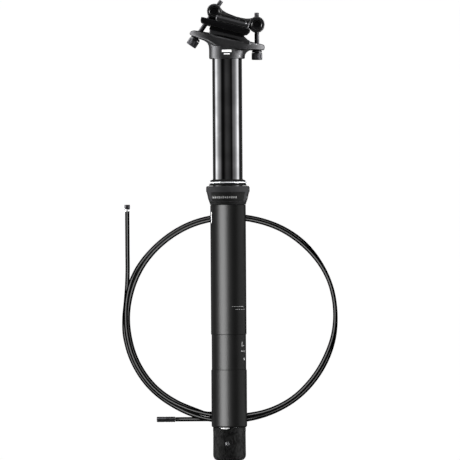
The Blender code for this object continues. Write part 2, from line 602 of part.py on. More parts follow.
def cradle():
    """Lower half of the clamp: a bar across the rails, a round keel that rocks in the head, and a thin
    cheek on each side of the head's trough."""
    outline = [(-22.9, -4.9), (-22.2, -6.0), (-18.1, -7.1), (18.5, -7.1), (20.4, -6.2), (22.0, -3.6)]
    outline = [(u * MM, v * MM) for u, v in outline]
    outline += [(22.2 * MM, CRADLE_TOP), (-22.8 * MM, CRADLE_TOP)]
    bar = prism("cradle", outline, -CLAMP_HALF_WIDTH, CLAMP_HALF_WIDTH, SATIN, CLAMP)
    chord = 5.5 * MM
    half_angle = degrees(asin(sqrt(1 - (chord / KEEL_R) ** 2)))
    keel = prism("keel", arc((0, 0), KEEL_R, -90 - half_angle, -90 + half_angle, 16),
                 -KEEL_HALF_WIDTH, KEEL_HALF_WIDTH, None, CLAMP)
    boolean(bar, keel, "UNION")
    cheek = [(-13.0, -6.0), (-13.6, -10.2), (-12.8, -10.8), (17.4, -9.9), (18.4, -9.0), (18.2, -6.0)]
    cheek = [(u * MM, v * MM) for u, v in cheek]
    inner = TROUGH_HALF_WIDTH + GAP
    for side in (-1, 1):
        low, high = sorted((side * inner, side * (inner + CHEEK_THICKNESS)))
        boolean(bar, prism(f"cheek_{side}", cheek, low, high, None, CLAMP), "UNION")
    for side in (-1, 1):
        boolean(bar, rail_groove(f"cradle_groove_{side}", side))
    slot = rod("rear_bolt_slot", BOLT_R + 1.3 * MM, -24 * MM, 0, None, CLAMP)
    slot.location = (REAR_BARREL[0], 0, REAR_BARREL[1])
    slot.rotation_euler.y = REAR.lean - CLAMP_TILT
    boolean(bar, slot)


def upper_clamp():
    """Upper half: wings over both rails, an arched bridge, and a round housing for each barrel nut."""
    half, low = CLAMP_HALF_WIDTH, CRADLE_TOP + 0.4 * MM
    side = [(half, low), (half, 1.2 * MM), (half - 0.7 * MM, 3.2 * MM), (half - 2.8 * MM, 5.1 * MM)]
    side += [(half - 7.4 * MM, 5.9 * MM)]
    section = side + [(-y, v) for y, v in reversed(side)]
    wings = prism("upper_clamp", section, -10.0 * MM, 20.0 * MM, SATIN, CLAMP, "x")
    bridge = [(22.0, 1.0), (22.0, 9.2), (19.0, 7.6), (14.1, 6.7), (6.4, 6.6), (-1.6, 7.6), (-6.0, 8.9)]
    bridge = [(u * MM, v * MM) for u, v in bridge + [(-9.0, 11.0), (-16.6, 2.0)]]
    bridge += [(-17.0 * MM, low), (20.0 * MM, low)]
    boolean(wings, prism("bridge", bridge, -12 * MM, 12 * MM, None, CLAMP), "UNION")
    for side in (-1, 1):
        boolean(wings, rail_groove(f"clamp_groove_{side}", side))
    ends = (("rear", REAR_BARREL, REAR_HOUSING_R, REAR), ("front", FRONT_BARREL, FRONT_HOUSING_R, FRONT))
    for name, centre, radius, _ in ends:
        reach = HOUSING_HALF_LENGTH
        housing = rod(f"{name}_housing", radius, -reach, reach, None, CLAMP, 32, "y")
        housing.location = (centre[0], 0, centre[1])
        boolean(wings, housing, "UNION")
    for name, centre, _, bolt in ends:
        end = HOUSING_HALF_LENGTH - NUT_INSET
        nut = rod(f"{name}_barrel_nut", NUT_R, -end, end, STEEL, CLAMP, 24, "y")
        nut.location = (centre[0], 0, centre[1])
        for target, hole_r in ((wings, BOLT_HOLE_R + GAP), (nut, BOLT_HOLE_R)):
            hole = rod(f"{name}_hole_{target.name}", hole_r, -12 * MM, 12 * MM, None, CLAMP)
            hole.location = nut.location
            hole.rotation_euler.y = bolt.lean - CLAMP_TILT
            boolean(target, hole)
    for name, centre, _, _ in ends:
        through = CLAMP_HALF_WIDTH
        bore = rod(f"{name}_housing_bore", NUT_R + GAP, -through, through, None, CLAMP, 28, "y")
        bore.location = (centre[0], 0, centre[1])
        boolean(wings, bore)


# ---------------------------------------------------------------- cable housing
def lying(x, along, height):
    """A point beside the post, given by its height over the ground, in the post frame."""
    return Vector((x, AXIS_HEIGHT - height, along))


def smooth_line(points, step):
    """A Catmull-Rom curve through the points, read at about one point per step."""
    ends = [2 * points[0] - points[1]] + points + [2 * points[-1] - points[-2]]
    line = []
    for a, b, c, d in zip(ends, ends[1:], ends[2:], ends[3:]):
        count = max(1, round((c - b).length / step))
        for i in range(count):
            t = i / count
            line.append(0.5 * (2 * b + (c - a) * t + (2 * a - 5 * b + 4 * c - d) * t * t
                               + (3 * b - a - 3 * c + d) * t ** 3))
    return line + [points[-1]]


def cable_tube(name, points):
    curve = bpy.data.curves.new(name, "CURVE")
    curve.dimensions = "3D"
    curve.bevel_depth = CABLE_R
    curve.bevel_resolution = 2
    curve.use_fill_caps = True
    curve.materials.append(JACKET)
    line = smooth_line([lying(x * MM, z * MM, h * MM) for x, z, h in points], 5 * CABLE_R)
    path = curve.splines.new("POLY")
    path.points.add(len(line) - 1)
    for spot, where in zip(path.points, line):
        spot.co = (*where, 1)
    made = bpy.data.objects.new(name, curve)
    bpy.context.collection.objects.link(made)
    made.parent = POST


# The stretches that aren't coiled, as (x, height up the post, height over the ground) in mm
UPPER_TAIL = [(-90.0, 222.3, 2.5), (-90.0, 214.0, 2.2), (-90.0, 200.0, 1.95), (-90.0, 185.0, 1.95),
              (-90.0, 169.2, 1.95)]
HIDDEN_LOOP = [(-12.3, 46.0, 1.95), (-8.4, 50.2, 1.95), (-6.4, 55.5, 1.95), (-5.9, 62.0, 1.95),
               (-6.3, 80.0, 1.95), (-7.6, 105.0, 1.95), (-9.6, 135.0, 1.95), (-11.9, 165.0, 1.95),
               (-13.6, 188.0, 1.95), (-13.0, 196.6, 1.95), (-9.6, 202.8, 1.95), (-4.6, 206.4, 1.95),
               (1.0, 207.2, 1.95), (6.4, 205.4, 1.95), (10.8, 201.4, 1.95), (13.4, 195.4, 1.95),
               (13.9, 187.0, 1.95), (13.1, 165.0, 1.95), (11.9, 135.0, 1.95), (10.6, 105.0, 1.95),
               (9.2, 80.0, 1.95), (8.2, 62.0, 1.95), (7.5, 54.0, 1.95), (5.2, 46.8, 1.95)]
LOWER_TAIL = [(-41.9, 36.4, 1.95), (-45.0, 36.4, 2.1), (-48.0, 36.4, 2.5)]
UPPER_FERRULE = (222.6 * MM, 228.3 * MM)
LOWER_FERRULE = (-64.9 * MM, -48.3 * MM)


def cable():
    """Coil as a turned ring, the free stretches as tubes, and a ferrule on each end."""
    x, along = COIL_CENTRE
    inner, outer, top = COIL_INNER_R, COIL_OUTER_R, COIL_HEIGHT
    bevel = 1.5 * MM
    profile = [(inner, bevel), (inner + bevel, 0), (outer - bevel, 0), (outer, bevel)]
    profile += [(outer, top - bevel), (outer - bevel, top), (inner + bevel, top), (inner, top - bevel)]
    coil = turned("cable_coil", profile, JACKET, sides=72)
    coil.rotation_euler.x = pi / 2
    coil.location = lying(x, along, 0)
    cable_tube("cable_upper_tail", UPPER_TAIL)
    cable_tube("cable_hidden_loop", HIDDEN_LOOP)
    cable_tube("cable_lower_tail", LOWER_TAIL)
    low, high = UPPER_FERRULE
    split, bore = low + 1.1 * MM, 1.0 * MM
    ring = [(bore, low), (FERRULE_R + 0.1 * MM, low), (FERRULE_R + 0.1 * MM, split), (bore, split)]
    cap = [(bore, split + GAP), (FERRULE_R, split + GAP), (FERRULE_R, high - 0.4 * MM)]
    cap += [(FERRULE_R - 0.4 * MM, high), (bore, high)]
    pieces = (("upper_ferrule_ring", ring, BRIGHT), ("upper_ferrule", cap, STEEL))
    for name, profile, finish_material in pieces:
        piece = turned(name, profile, finish_material, sides=SMALL_ROUND)
        piece.location = lying(-90.0 * MM, 0, FERRULE_R + 0.1 * MM)
    low, high = LOWER_FERRULE
    body = [(bore, low), (FERRULE_R - 0.4 * MM, low), (FERRULE_R, low + 0.4 * MM), (FERRULE_R, high)]
    piece = turned("lower_ferrule", body + [(bore, high)], STEEL, sides=SMALL_ROUND)
    piece.rotation_euler.y = pi / 2
    piece.location = lying(0, 36.4 * MM, FERRULE_R)


base_cap()
actuator_housing()
cap_screw()
actuator_lever()
valve_pin()
return_spring()
outer_tube()
collar()
wiper_seal()
seals_and_bush()
stanchion()
cartridge()
head()
bolts()
cradle()
upper_clamp()
cable()
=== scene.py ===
# Looks of the dropper seatpost: fine surfaces, finishes, the coiled cable housing, lights and camera.
# Shapes are worked out in the post's own upright frame, in mm: x to the front of the bicycle,
# z up the post from the bottom of the cap, y into the ground. layDown() then puts them in place.
import math

import bpy
import numpy as np
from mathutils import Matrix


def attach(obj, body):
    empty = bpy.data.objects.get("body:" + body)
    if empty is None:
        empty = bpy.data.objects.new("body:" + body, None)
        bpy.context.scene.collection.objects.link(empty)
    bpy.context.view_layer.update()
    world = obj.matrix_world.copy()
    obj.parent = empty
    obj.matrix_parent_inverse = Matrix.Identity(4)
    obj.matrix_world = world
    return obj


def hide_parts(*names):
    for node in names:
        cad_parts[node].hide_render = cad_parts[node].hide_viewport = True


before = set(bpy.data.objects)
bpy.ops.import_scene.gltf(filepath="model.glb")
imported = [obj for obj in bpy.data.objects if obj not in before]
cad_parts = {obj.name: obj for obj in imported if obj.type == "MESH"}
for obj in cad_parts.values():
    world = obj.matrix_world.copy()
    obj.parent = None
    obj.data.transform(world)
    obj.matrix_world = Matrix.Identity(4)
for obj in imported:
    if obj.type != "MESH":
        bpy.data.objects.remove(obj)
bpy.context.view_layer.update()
scene = bpy.context.scene
mm = 0.001

post = {
    "length": 409.9,        # bottom of the cap to the tip of the rear bolt
    "axisHeight": 25.4,     # the post's axis over the ground, half the clamp's width
    "clampHeight": 390.3,   # where the clamp tilts, on the post's axis
    "clampTilt": 15.0,      # degrees, nose down
}
tilt = math.radians(post["clampTilt"])


# x, y, z in mm standing up -> metres lying down: x stays, z runs along world Y, y points down
def layDown(x, y, z):
    x, y, z = np.broadcast_arrays(x, y, z)
    return np.stack([x, z - post["length"] / 2, post["axisHeight"] - y], -1) * mm


# a clamp point, u along the rails and v square to them, turned by the tilt about the rocking axis
def fromClamp(u, v):
    return (u * math.cos(tilt) + v * math.sin(tilt),
            post["clampHeight"] - u * math.sin(tilt) + v * math.cos(tilt))


# quads between ring i and ring i + 1, every ring closed on itself; a loop of rings closes too,
# and an open row of rings ends in one flat face at each end
def skinOf(rings, loop=False):
    count, around = rings.shape[:2]
    i = np.arange(count if loop else count - 1)[:, None]
    j = np.arange(around)[None, :]
    after, beside = (i + 1) % count, (j + 1) % around
    quads = np.stack([i * around + j, i * around + beside, after * around + beside, after * around + j], -1)
    faces = quads.reshape(-1, 4).tolist()
    if not loop:
        faces += [list(range(around))[::-1], list(range((count - 1) * around, count * around))]
    return turnedOut(rings.reshape(-1, 3), faces)


# the volume under every fan of triangles, summed: negative means the faces point inwards
def turnedOut(points, faces):
    quads = np.array([f[:4] for f in faces if len(f) == 4])
    a, b, c, d = (points[quads[:, k]] for k in range(4))
    volume = np.einsum("ij,ij->", a, np.cross(b, c)) + np.einsum("ij,ij->", a, np.cross(c, d))
    for face in faces:
        if len(face) != 4:
            p = points[face]
            volume += np.einsum("ij,ij->", np.broadcast_to(p[0], p[1:-1].shape), np.cross(p[1:-1], p[2:]))
    return points, ([f[::-1] for f in faces] if volume < 0 else faces)


# several skins kept in one mesh
def together(*skins):
    points, faces, start = [], [], 0
    for somePoints, someFaces in skins:
        points.append(somePoints)
        faces += [[k + start for k in f] for f in someFaces]
        start += len(somePoints)
    return np.concatenate(points), faces


def bareObject(name, skin):
    points, faces = skin
    mesh = bpy.data.meshes.new(name)
    mesh.from_pydata(points.tolist(), [], faces)
    made = bpy.data.objects.new(name, mesh)
    scene.collection.objects.link(made)
    return made


# the mesh as its modifiers leave it, kept in place of them
def settle(piece):
    shape = piece.evaluated_get(bpy.context.evaluated_depsgraph_get())
    mesh = bpy.data.meshes.new_from_object(shape)
    piece.modifiers.clear()
    piece.data = mesh
    return piece


def cut(piece, tools, operation="DIFFERENCE"):
    for tool in tools:
        change = piece.modifiers.new("cut", "BOOLEAN")
        change.operation = operation
        change.solver = "EXACT"
        change.object = tool
    settle(piece)
    for tool in tools:
        bpy.data.objects.remove(tool)
    return piece


# one closed skin over overlapping shells, with its edges worn round as forging leaves them
def forge(name, shells, voxel, rounds):
    piece = bareObject(name, together(*shells))
    remesh = piece.modifiers.new("voxels", "REMESH")
    remesh.mode = "VOXEL"
    remesh.voxel_size = voxel * mm
    soften = piece.modifiers.new("soften", "SMOOTH")
    soften.factor = 0.5
    soften.iterations = rounds
    return settle(piece)


# which lights fall on which pieces: everything is in the tent but the blasted tube and the cable
litBy = {name: bpy.data.collections.new(name) for name in ("tent", "tubeLamps", "cableLamp", "topFill")}


def finishPiece(piece, look, body, nodes, sharp=32, lit=("tent",)):
    for group in lit:
        litBy[group].objects.link(piece)
    mesh = piece.data
    mesh.materials.clear()
    mesh.materials.append(look)
    mesh.polygons.foreach_set("material_index", np.zeros(len(mesh.polygons), np.int32))
    mesh.shade_smooth()
    mesh.set_sharp_from_angle(angle=math.radians(sharp))
    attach(piece, body)
    if nodes:
        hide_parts(*nodes)
    return piece


# even angles round a full turn
def fullTurn(count):
    return np.arange(count) * 2 * math.pi / count


# a value's size raised to a power, its sign kept
def signedPower(value, power):
    return np.sign(value) * np.abs(value) ** power


# a hexagon `width` across its flats, as a radius at each angle: a / cos(angle to the nearest flat)
def hexagonRadius(width, angle):
    return width / 2 / np.cos((angle % (math.pi / 3)) - math.pi / 6)


# each corner becomes a parabola arc between the points `radius` before and after it
def softCorners(points, radius, steps=4):
    p = np.array(points, float)
    radius = np.broadcast_to(np.asarray(radius, float), len(p))[:, None]
    before, after = np.roll(p, 1, 0) - p, np.roll(p, -1, 0) - p
    reach = [np.linalg.norm(v, axis=1, keepdims=True) for v in (before, after)]
    start = p + before / np.maximum(reach[0], 1e-9) * np.minimum(radius, 0.45 * reach[0])
    end = p + after / np.maximum(reach[1], 1e-9) * np.minimum(radius, 0.45 * reach[1])
    t = np.linspace(0, 1, steps + 1)[None, :, None]
    arcs = (1 - t) ** 2 * start[:, None] + 2 * t * (1 - t) * p[:, None] + t ** 2 * end[:, None]
    flat = arcs.reshape(-1, 2)
    return flat[np.linalg.norm(flat - np.roll(flat, 1, 0), axis=1) > 1e-4]


# points added along a closed outline, none further apart than `most`
def evenly(outline, most):
    after = np.roll(outline, -1, 0)
    count = np.maximum(1, np.ceil(np.linalg.norm(after - outline, axis=1) / most).astype(int))
    start = np.repeat(np.arange(len(outline)), count)
    share = (np.arange(len(start)) - np.repeat(np.cumsum(count) - count, count)) / count[start]
    return outline[start] + (after - outline)[start] * share[:, None]


# (radius, height) profile turned about an axis: point = (r cos a, r sin a, h), where bulge(r, h, a)
# may change r. The profile is a loop, or an open row whose ends close with a flat face
def turnedRings(profile, sides, bulge=None):
    profile = np.asarray(profile, float)
    angle = fullTurn(sides)
    r, h = profile[:, :1] + 0 * angle, profile[:, 1:] + 0 * angle
    if bulge:
        r = bulge(r, h, angle[None, :] + 0 * r)
    return r * np.cos(angle), r * np.sin(angle), h


# turned about the post's own axis
def turnedUp(profile, sides=96, loop=True, bulge=None):
    x, y, z = turnedRings(profile, sides, bulge)
    return skinOf(layDown(x, y, z), loop)


# turned about an axis in the post's middle plane: it starts at (x, z) and leans to the front
def turnedLeaning(profile, origin, lean, sides=48, loop=True):
    a, b, h = turnedRings(profile, sides)
    x = origin[0] + a * math.cos(lean) + h * math.sin(lean)
    z = origin[1] - a * math.sin(lean) + h * math.cos(lean)
    return skinOf(layDown(x, b, z), loop)


# turned about an axis square to the post's middle plane, through (x, z)
def turnedAcross(profile, origin, sides=64, loop=True):
    a, b, h = turnedRings(profile, sides)
    return skinOf(layDown(origin[0] + a, h, origin[1] + b), loop)


# every point of a closed outline moved in along its own normal
def inset(outline, depth):
    along = np.roll(outline, -1, 0) - np.roll(outline, 1, 0)
    inward = np.stack([-along[:, 1], along[:, 0]], -1)
    inward /= np.maximum(np.linalg.norm(inward, axis=1, keepdims=True), 1e-9)
    x, z = outline.T
    area = np.sum(x * np.roll(z, -1) - z * np.roll(x, -1))
    return outline + inward * depth * np.sign(area)


# an outline carried straight across from -half to +half, its rims rounded by a quarter circle:
# at turn a the outline is inset by edge (1 - sin a) and stands edge (1 - cos a) short of the end
def plateRings(outline, half, edge, steps=4):
    turn = np.linspace(0, math.pi / 2, steps + 1)
    low = [(inset(outline, edge * (1 - math.sin(a))), -half + edge * (1 - math.cos(a))) for a in turn]
    rings = low + [(shape, -across) for shape, across in low[::-1]]
    return np.stack([np.column_stack([s, np.full(len(s), w)]) for s, w in rings])


def plateAcross(outline, half, edge=0.4, clampFrame=False, middle=0.0):
    rings = plateRings(np.asarray(outline, float), half, edge)
    first, second, across = np.moveaxis(rings, -1, 0)
    x, z = fromClamp(first, second) if clampFrame else (first, second)
    return skinOf(layDown(x, across + middle, z))


def linear(hexColour):
    channels = [int(hexColour[i:i + 2], 16) / 255 for i in (1, 3, 5)]
    return [c / 12.92 if c <= 0.04045 else ((c + 0.055) / 1.055) ** 2.4 for c in channels] + [1.0]


def addNode(tree, kind, settings=None, inputs=None):
    node = tree.nodes.new(kind)
    for key, value in (settings or {}).items():
        setattr(node, key, value)
    for key, value in (inputs or {}).items():
        if isinstance(value, bpy.types.NodeSocket):
            tree.links.new(value, node.inputs[key])
        else:
            node.inputs[key].default_value = value
    return node


def newLook(name, metallic, roughness, **sockets):
    look = bpy.data.materials.new(name)
    look.use_nodes = True
    shader = look.node_tree.nodes["Principled BSDF"]
    shader.inputs["Metallic"].default_value = metallic
    shader.inputs["Roughness"].default_value = roughness
    for key, value in sockets.items():
        shader.inputs[key.replace("_", " ")].default_value = value
    return look, look.node_tree, shader


# cells of noise `size` mm across; stretch is how much longer they are along each axis
def grain(tree, size, stretch=(1, 1, 1), detail=3.0, distortion=0.0):
    place = addNode(tree, "ShaderNodeTexCoord")
    turn = addNode(tree, "ShaderNodeMapping", None, {
        "Vector": place.outputs["Object"], "Scale": [1 / (size * mm * s) for s in stretch]})
    return addNode(tree, "ShaderNodeTexNoise", None, {
        "Vector": turn.outputs["Vector"], "Scale": 1.0, "Detail": detail, "Distortion": distortion})


# colour between two tones, by a pattern read between two levels
def twoTone(tree, pattern, dark, light, low, high):
    ramp = addNode(tree, "ShaderNodeValToRGB", None, {"Fac": pattern})
    ramp.color_ramp.elements[0].position = low
    ramp.color_ramp.elements[0].color = linear(dark)
    ramp.color_ramp.elements[1].position = high
    ramp.color_ramp.elements[1].color = linear(light)
    return ramp.outputs["Color"]


def between(tree, pattern, low, high):
    spread = addNode(tree, "ShaderNodeMapRange", None, {"Value": pattern, "To Min": low, "To Max": high})
    return spread.outputs["Result"]


# relief `height` mm deep
def relief(tree, shader, pattern, height):
    bump = addNode(tree, "ShaderNodeBump", None, {
        "Height": pattern, "Strength": 1.0, "Distance": height * mm})
    tree.links.new(bump.outputs["Normal"], shader.inputs["Normal"])


def link(tree, source, shader, socket):
    tree.links.new(source, shader.inputs[socket])


# bead-blasted and black anodised aluminium: the dyed oxide swallows what enters it and leaves a broad
# soft sheen. The real grain, about 0.1 mm, is too fine to show, so it is drawn at 0.7 mm. Where the
# mesh's "dark" attribute is 1 the colour is the darker tone given last, which is painted shade
def makeBlastedAnodised(name, tone, roughness, sheen, paintedShadeTone=None):
    look, tree, shader = newLook(name, 0.0, roughness, Specular_IOR_Level=sheen)
    fine = grain(tree, 0.7, detail=4.0)
    broad = grain(tree, 22.0)
    body = twoTone(tree, broad.outputs["Fac"], tone[0], tone[1], 0.35, 0.65)
    if paintedShadeTone:
        # the "dark" attribute marks where shade is painted into the colour
        shade = addNode(tree, "ShaderNodeAttribute", {"attribute_name": "dark"})
        mix = addNode(tree, "ShaderNodeMix", {"data_type": "RGBA"})
        tree.links.new(shade.outputs["Fac"], mix.inputs["Factor"])
        tree.links.new(body, mix.inputs["A"])
        mix.inputs["B"].default_value = linear(paintedShadeTone)
        body = mix.outputs["Result"]
    link(tree, body, shader, "Base Color")
    link(tree, between(tree, fine.outputs["Fac"], roughness - 0.05, roughness + 0.05), shader, "Roughness")
    relief(tree, shader, fine.outputs["Fac"], 0.012)
    return look


# centreless-ground, polished and hard-anodised black: mirror-like, with hairlines round the tube
def makePolishedAnodised():
    look, tree, shader = newLook("polishedHardAnodised", 1.0, 0.07)
    lines = grain(tree, 0.35, (40, 1, 40))
    smudges = grain(tree, 18.0)
    link(tree, twoTone(tree, smudges.outputs["Fac"], "#3a3a3b", "#434344", 0.4, 0.6), shader, "Base Color")
    link(tree, between(tree, lines.outputs["Fac"], 0.05, 0.10), shader, "Roughness")
    relief(tree, shader, lines.outputs["Fac"], 0.0006)
    return look


# forged aluminium, tumbled and satin black anodised: softly mottled, and paler on its sharpest convex edges
def makeSatinForged(name, tone, edgeTone, roughness):
    look, tree, shader = newLook(name, 1.0, roughness)
    fine = grain(tree, 0.9, detail=5.0)
    body = twoTone(tree, fine.outputs["Fac"], tone[0], tone[1], 0.3, 0.7)
    shape = addNode(tree, "ShaderNodeNewGeometry")
    # the edge tone is mixed in where the mesh's pointiness is high, on sharp convex edges
    sharpEdge = addNode(tree, "ShaderNodeMapRange", None, {
        "Value": shape.outputs["Pointiness"], "From Min": 0.52, "From Max": 0.62})
    mix = addNode(tree, "ShaderNodeMix", {"data_type": "RGBA"})
    tree.links.new(sharpEdge.outputs["Result"], mix.inputs["Factor"])
    tree.links.new(body, mix.inputs["A"])
    mix.inputs["B"].default_value = linear(edgeTone)
    tree.links.new(mix.outputs["Result"], shader.inputs["Base Color"])
    link(tree, between(tree, fine.outputs["Fac"], roughness - 0.06, roughness + 0.08), shader, "Roughness")
    relief(tree, shader, fine.outputs["Fac"], 0.02)
    return look


# moulded rubber-like cap: dull, with flow marks about 3 mm long and a fine pitted skin
def makeMouldedCap():
    look, tree, shader = newLook("mouldedRubberCap", 0.0, 0.7, Specular_IOR_Level=0.03)
    flow = grain(tree, 3.2, (1, 1.6, 1), detail=6.0, distortion=1.6)
    pits = grain(tree, 0.6, detail=3.0)
    link(tree, twoTone(tree, flow.outputs["Fac"], "#040404", "#151515", 0.4, 0.62), shader, "Base Color")
    link(tree, between(tree, pits.outputs["Fac"], 0.5, 0.75), shader, "Roughness")
    relief(tree, shader, flow.outputs["Fac"], 0.12)
    return look


# a finish that varies between two tones in patches `size` mm across; roughness between the two
# values of `gloss` and relief `depth` mm deep follow the same patches
def makePatched(name, metallic, roughness, size, tone, levels=(0.3, 0.7), gloss=None, depth=0,
                stretch=(1, 1, 1), detail=3.0, **sockets):
    look, tree, shader = newLook(name, metallic, roughness, **sockets)
    patches = grain(tree, size, stretch, detail).outputs["Fac"]
    link(tree, twoTone(tree, patches, *tone, *levels), shader, "Base Color")
    if gloss:
        link(tree, between(tree, patches, *gloss), shader, "Roughness")
    if depth:
        relief(tree, shader, patches, depth)
    return look


# open-cell foam soaked in oil: dark, with pores of about 0.6 mm
def makeFoam():
    look, tree, shader = newLook("oiledFoam", 0.0, 0.8)
    place = addNode(tree, "ShaderNodeTexCoord")
    pores = addNode(tree, "ShaderNodeTexVoronoi", None, {
        "Vector": place.outputs["Object"], "Scale": 1 / (0.6 * mm)})
    link(tree, twoTone(tree, pores.outputs["Distance"], "#20201c", "#55554c", 0.1, 0.6), shader, "Base Color")
    relief(tree, shader, pores.outputs["Distance"], 0.2)
    return look


blasted = makeBlastedAnodised("blastedAnodised", ("#060606", "#090909"), 0.4, 0.5)
# 0c0c0c is painted shade for the collar's sunk panels and its foot under the flare
collarBlack = makeBlastedAnodised("machinedAnodised", ("#1c1c1d", "#222223"), 0.65, 0.03, "#0c0c0c")
polished = makePolishedAnodised()
forged = makeSatinForged("forgedAnodised", ("#303031", "#3a3a3b"), "#6a6a6c", 0.36)
clampBlack = makeSatinForged("clampAnodised", ("#1c1c1d", "#262627"), "#9a9a9c", 0.4)
cradleBlack = makeSatinForged("cradleAnodised", ("#0d0d0e", "#141415"), "#2c2c2d", 0.45)
mouldedCap = makeMouldedCap()
# moulded nitrile rubber: matt and faintly bloomed
sealRubber = makePatched("mouldedNitrile", 0.0, 0.7, 1.5, ("#080808", "#121212"), (0.35, 0.7), depth=0.02,
                         Specular_IOR_Level=0.03)
# turned and polished steel: bright, with fine marks left by the tool
brightSteel = makePatched("turnedBrightSteel", 1.0, 0.2, 0.3, ("#c4c5c8", "#e9e9ea"), gloss=(0.14, 0.3),
                          detail=4.0)
# steel wire and screw, zinc plated and passivated: silvery and satin, and dull where handled
zincPlate = makePatched("zincPlate", 1.0, 0.5, 1.2, ("#b4b5b8", "#cfd0d2"))
dullZinc = makePatched("dullZincPlate", 1.0, 0.5, 1.2, ("#606062", "#747476"))
# machined steel, blackened hot in oxide salts: near black, a little oily, greyer in patches
blackOxide = makePatched("blackOxideSteel", 1.0, 0.34, 2.0, ("#2a2a2c", "#3c3c3e"), (0.35, 0.65),
                         (0.26, 0.44), 0.008, detail=5.0)
# extruded nylon jacket, gloss black: wet-looking, with faint draw marks along it
jacket = makePatched("extrudedNylonJacket", 0.0, 0.2, 2.4, ("#050505", "#0c0c0c"), (0.35, 0.65),
                     (0.15, 0.27), 0.01, detail=4.0, IOR=1.53)
# sawn and turned bare aluminium: pale, with tool marks
bareAluminium = makePatched("turnedBareAluminium", 1.0, 0.32, 0.4, ("#b9babd", "#d9dadc"),
                            gloss=(0.24, 0.42), stretch=(12, 1, 12))
# turned free-cutting brass: yellow, slightly dulled
brass = makePatched("turnedBrass", 1.0, 0.3, 1.2, ("#b08a3e", "#d8b45e"))
# moulded acetal: grey and waxy
acetal = makePatched("mouldedAcetal", 0.0, 0.42, 3.0, ("#77777a", "#8c8c8e"), IOR=1.48)
foam = makeFoam()
# laser-etched marks: pale oxide, dry and matt, and the same worn faint
etched = makePatched("laserEtched", 0.0, 0.7, 0.5, ("#c9c9c9", "#f2f2f2"))
dullEtched = makePatched("faintEtched", 0.0, 0.7, 0.5, ("#4c4c4c", "#646464"))
print("finishes made")

view = {"fieldWidth": 409.4, "centreX": 1.66, "centreY": 0.2, "lens": 600.0, "roll": -0.37}
lens = bpy.data.cameras.new("longLens")
lens.lens = view["lens"]
lens.sensor_width = 36.0
lens.clip_start = 0.1
lens.clip_end = 100.0
camera = bpy.data.objects.new("camera", lens)
scene.collection.objects.link(camera)
distance = view["fieldWidth"] * mm * view["lens"] / 36.0
camera.location = (view["centreX"] * mm, view["centreY"] * mm, post["axisHeight"] * mm + distance)
camera.rotation_euler = (0, 0, math.radians(view["roll"]))
scene.camera = camera
scene.view_settings.view_transform = "Standard"

floorLook = {"size": 6.0, "tone": "#f6f6f6", "glow": 1.01}
corners = np.array([(-1, -1, 0), (1, -1, 0), (1, 1, 0), (-1, 1, 0)]) * floorLook["size"] / 2
floor = bareObject("floor", (corners, [[0, 1, 2, 3]]))
paper, paperTree, paperShader = newLook("seamlessPaper", 0.0, 0.9)
paperShader.inputs["Base Color"].default_value = linear(floorLook["tone"])
paperShader.inputs["Specular IOR Level"].default_value = 0.0
paperShader.inputs["Emission Color"].default_value = (1, 1, 1, 1)
paperShader.inputs["Emission Strength"].default_value = floorLook["glow"]
floor.data.materials.append(paper)
floor.visible_glossy = False    # kept out of the reflections, so that gloss shows the softboxes alone
floor.visible_diffuse = False
floor.visible_shadow = False

# a tent of light round the post: how bright it is at each angle from straight up, in degrees, with
# the right side positive. Two tall strips stand at the sides and a faint one hangs over the post
tent = {
    "radius": 1.5,
    "half": 2.0,
    "strength": 20.0,
    "sideways": [
        (-180, 0.2), (-125, 0.2), (-112, 0.4), (-106, 7.0), (-100, 15), (-94, 18.0), (-84, 10.0),
        (-74, 5.4), (-64, 3.0), (-55, 2.3), (-49, 0.6), (-42, 0.1), (-31, 0.04), (-22, 0.2), (-14, 0.55),
        (-7, 0.62), (0, 0.6), (10, 0.45), (22, 0.25), (30, 0.04), (35, 0.15), (40, 1.4), (46, 2.2),
        (56, 2.4), (64, 4.4), (74, 8.5), (82, 17.0), (90, 18.0), (96, 8.0), (102, 0.3), (125, 0.2),
        (180, 0.2)],
}


# a cylinder round the post's axis: (R sin a, y, R cos a)
def makeTent():
    angle = np.linspace(-math.pi, math.pi, 145)
    reach = np.array([-tent["half"], tent["half"]])[:, None]
    side, up = tent["radius"] * np.sin(angle)[None], tent["radius"] * np.cos(angle)[None]
    points = np.stack([side + 0 * reach, reach + 0 * side, up + 0 * reach], -1)
    points[..., 2] += post["axisHeight"] * mm
    k = np.arange(144)
    faces = np.stack([k, k + 1, k + 146, k + 145], -1).tolist()
    cloth = bareObject("tent", (points.reshape(-1, 3), faces))
    look = bpy.data.materials.new("litCloth")
    look.use_nodes = True
    tree = look.node_tree
    tree.nodes.clear()
    place = addNode(tree, "ShaderNodeTexCoord")
    axes = addNode(tree, "ShaderNodeSeparateXYZ", None, {"Vector": place.outputs["Object"]})
    aside = addNode(tree, "ShaderNodeMath", {"operation": "ARCTAN2"}, {
        0: axes.outputs["X"], 1: axes.outputs["Z"]})
    turn = addNode(tree, "ShaderNodeMapRange", None, {
        "Value": aside.outputs[0], "From Min": -math.pi, "From Max": math.pi})
    strips = addNode(tree, "ShaderNodeValToRGB", None, {"Fac": turn.outputs["Result"]})
    stops = strips.color_ramp.elements
    while len(stops) < len(tent["sideways"]):
        stops.new(1.0)
    for stop, (where, level) in zip(stops, tent["sideways"]):
        stop.position = (where + 180) / 360
        share = level / tent["strength"]
        stop.color = (share, share, share, 1)
    lit = addNode(tree, "ShaderNodeEmission", None, {
        "Color": strips.outputs["Color"], "Strength": tent["strength"]})
    addNode(tree, "ShaderNodeOutputMaterial", None, {"Surface": lit.outputs["Emission"]})
    cloth.data.materials.append(look)
    cloth.visible_camera = False
    cloth.visible_shadow = False
    cloth.light_linking.receiver_collection = litBy["tent"]


makeTent()

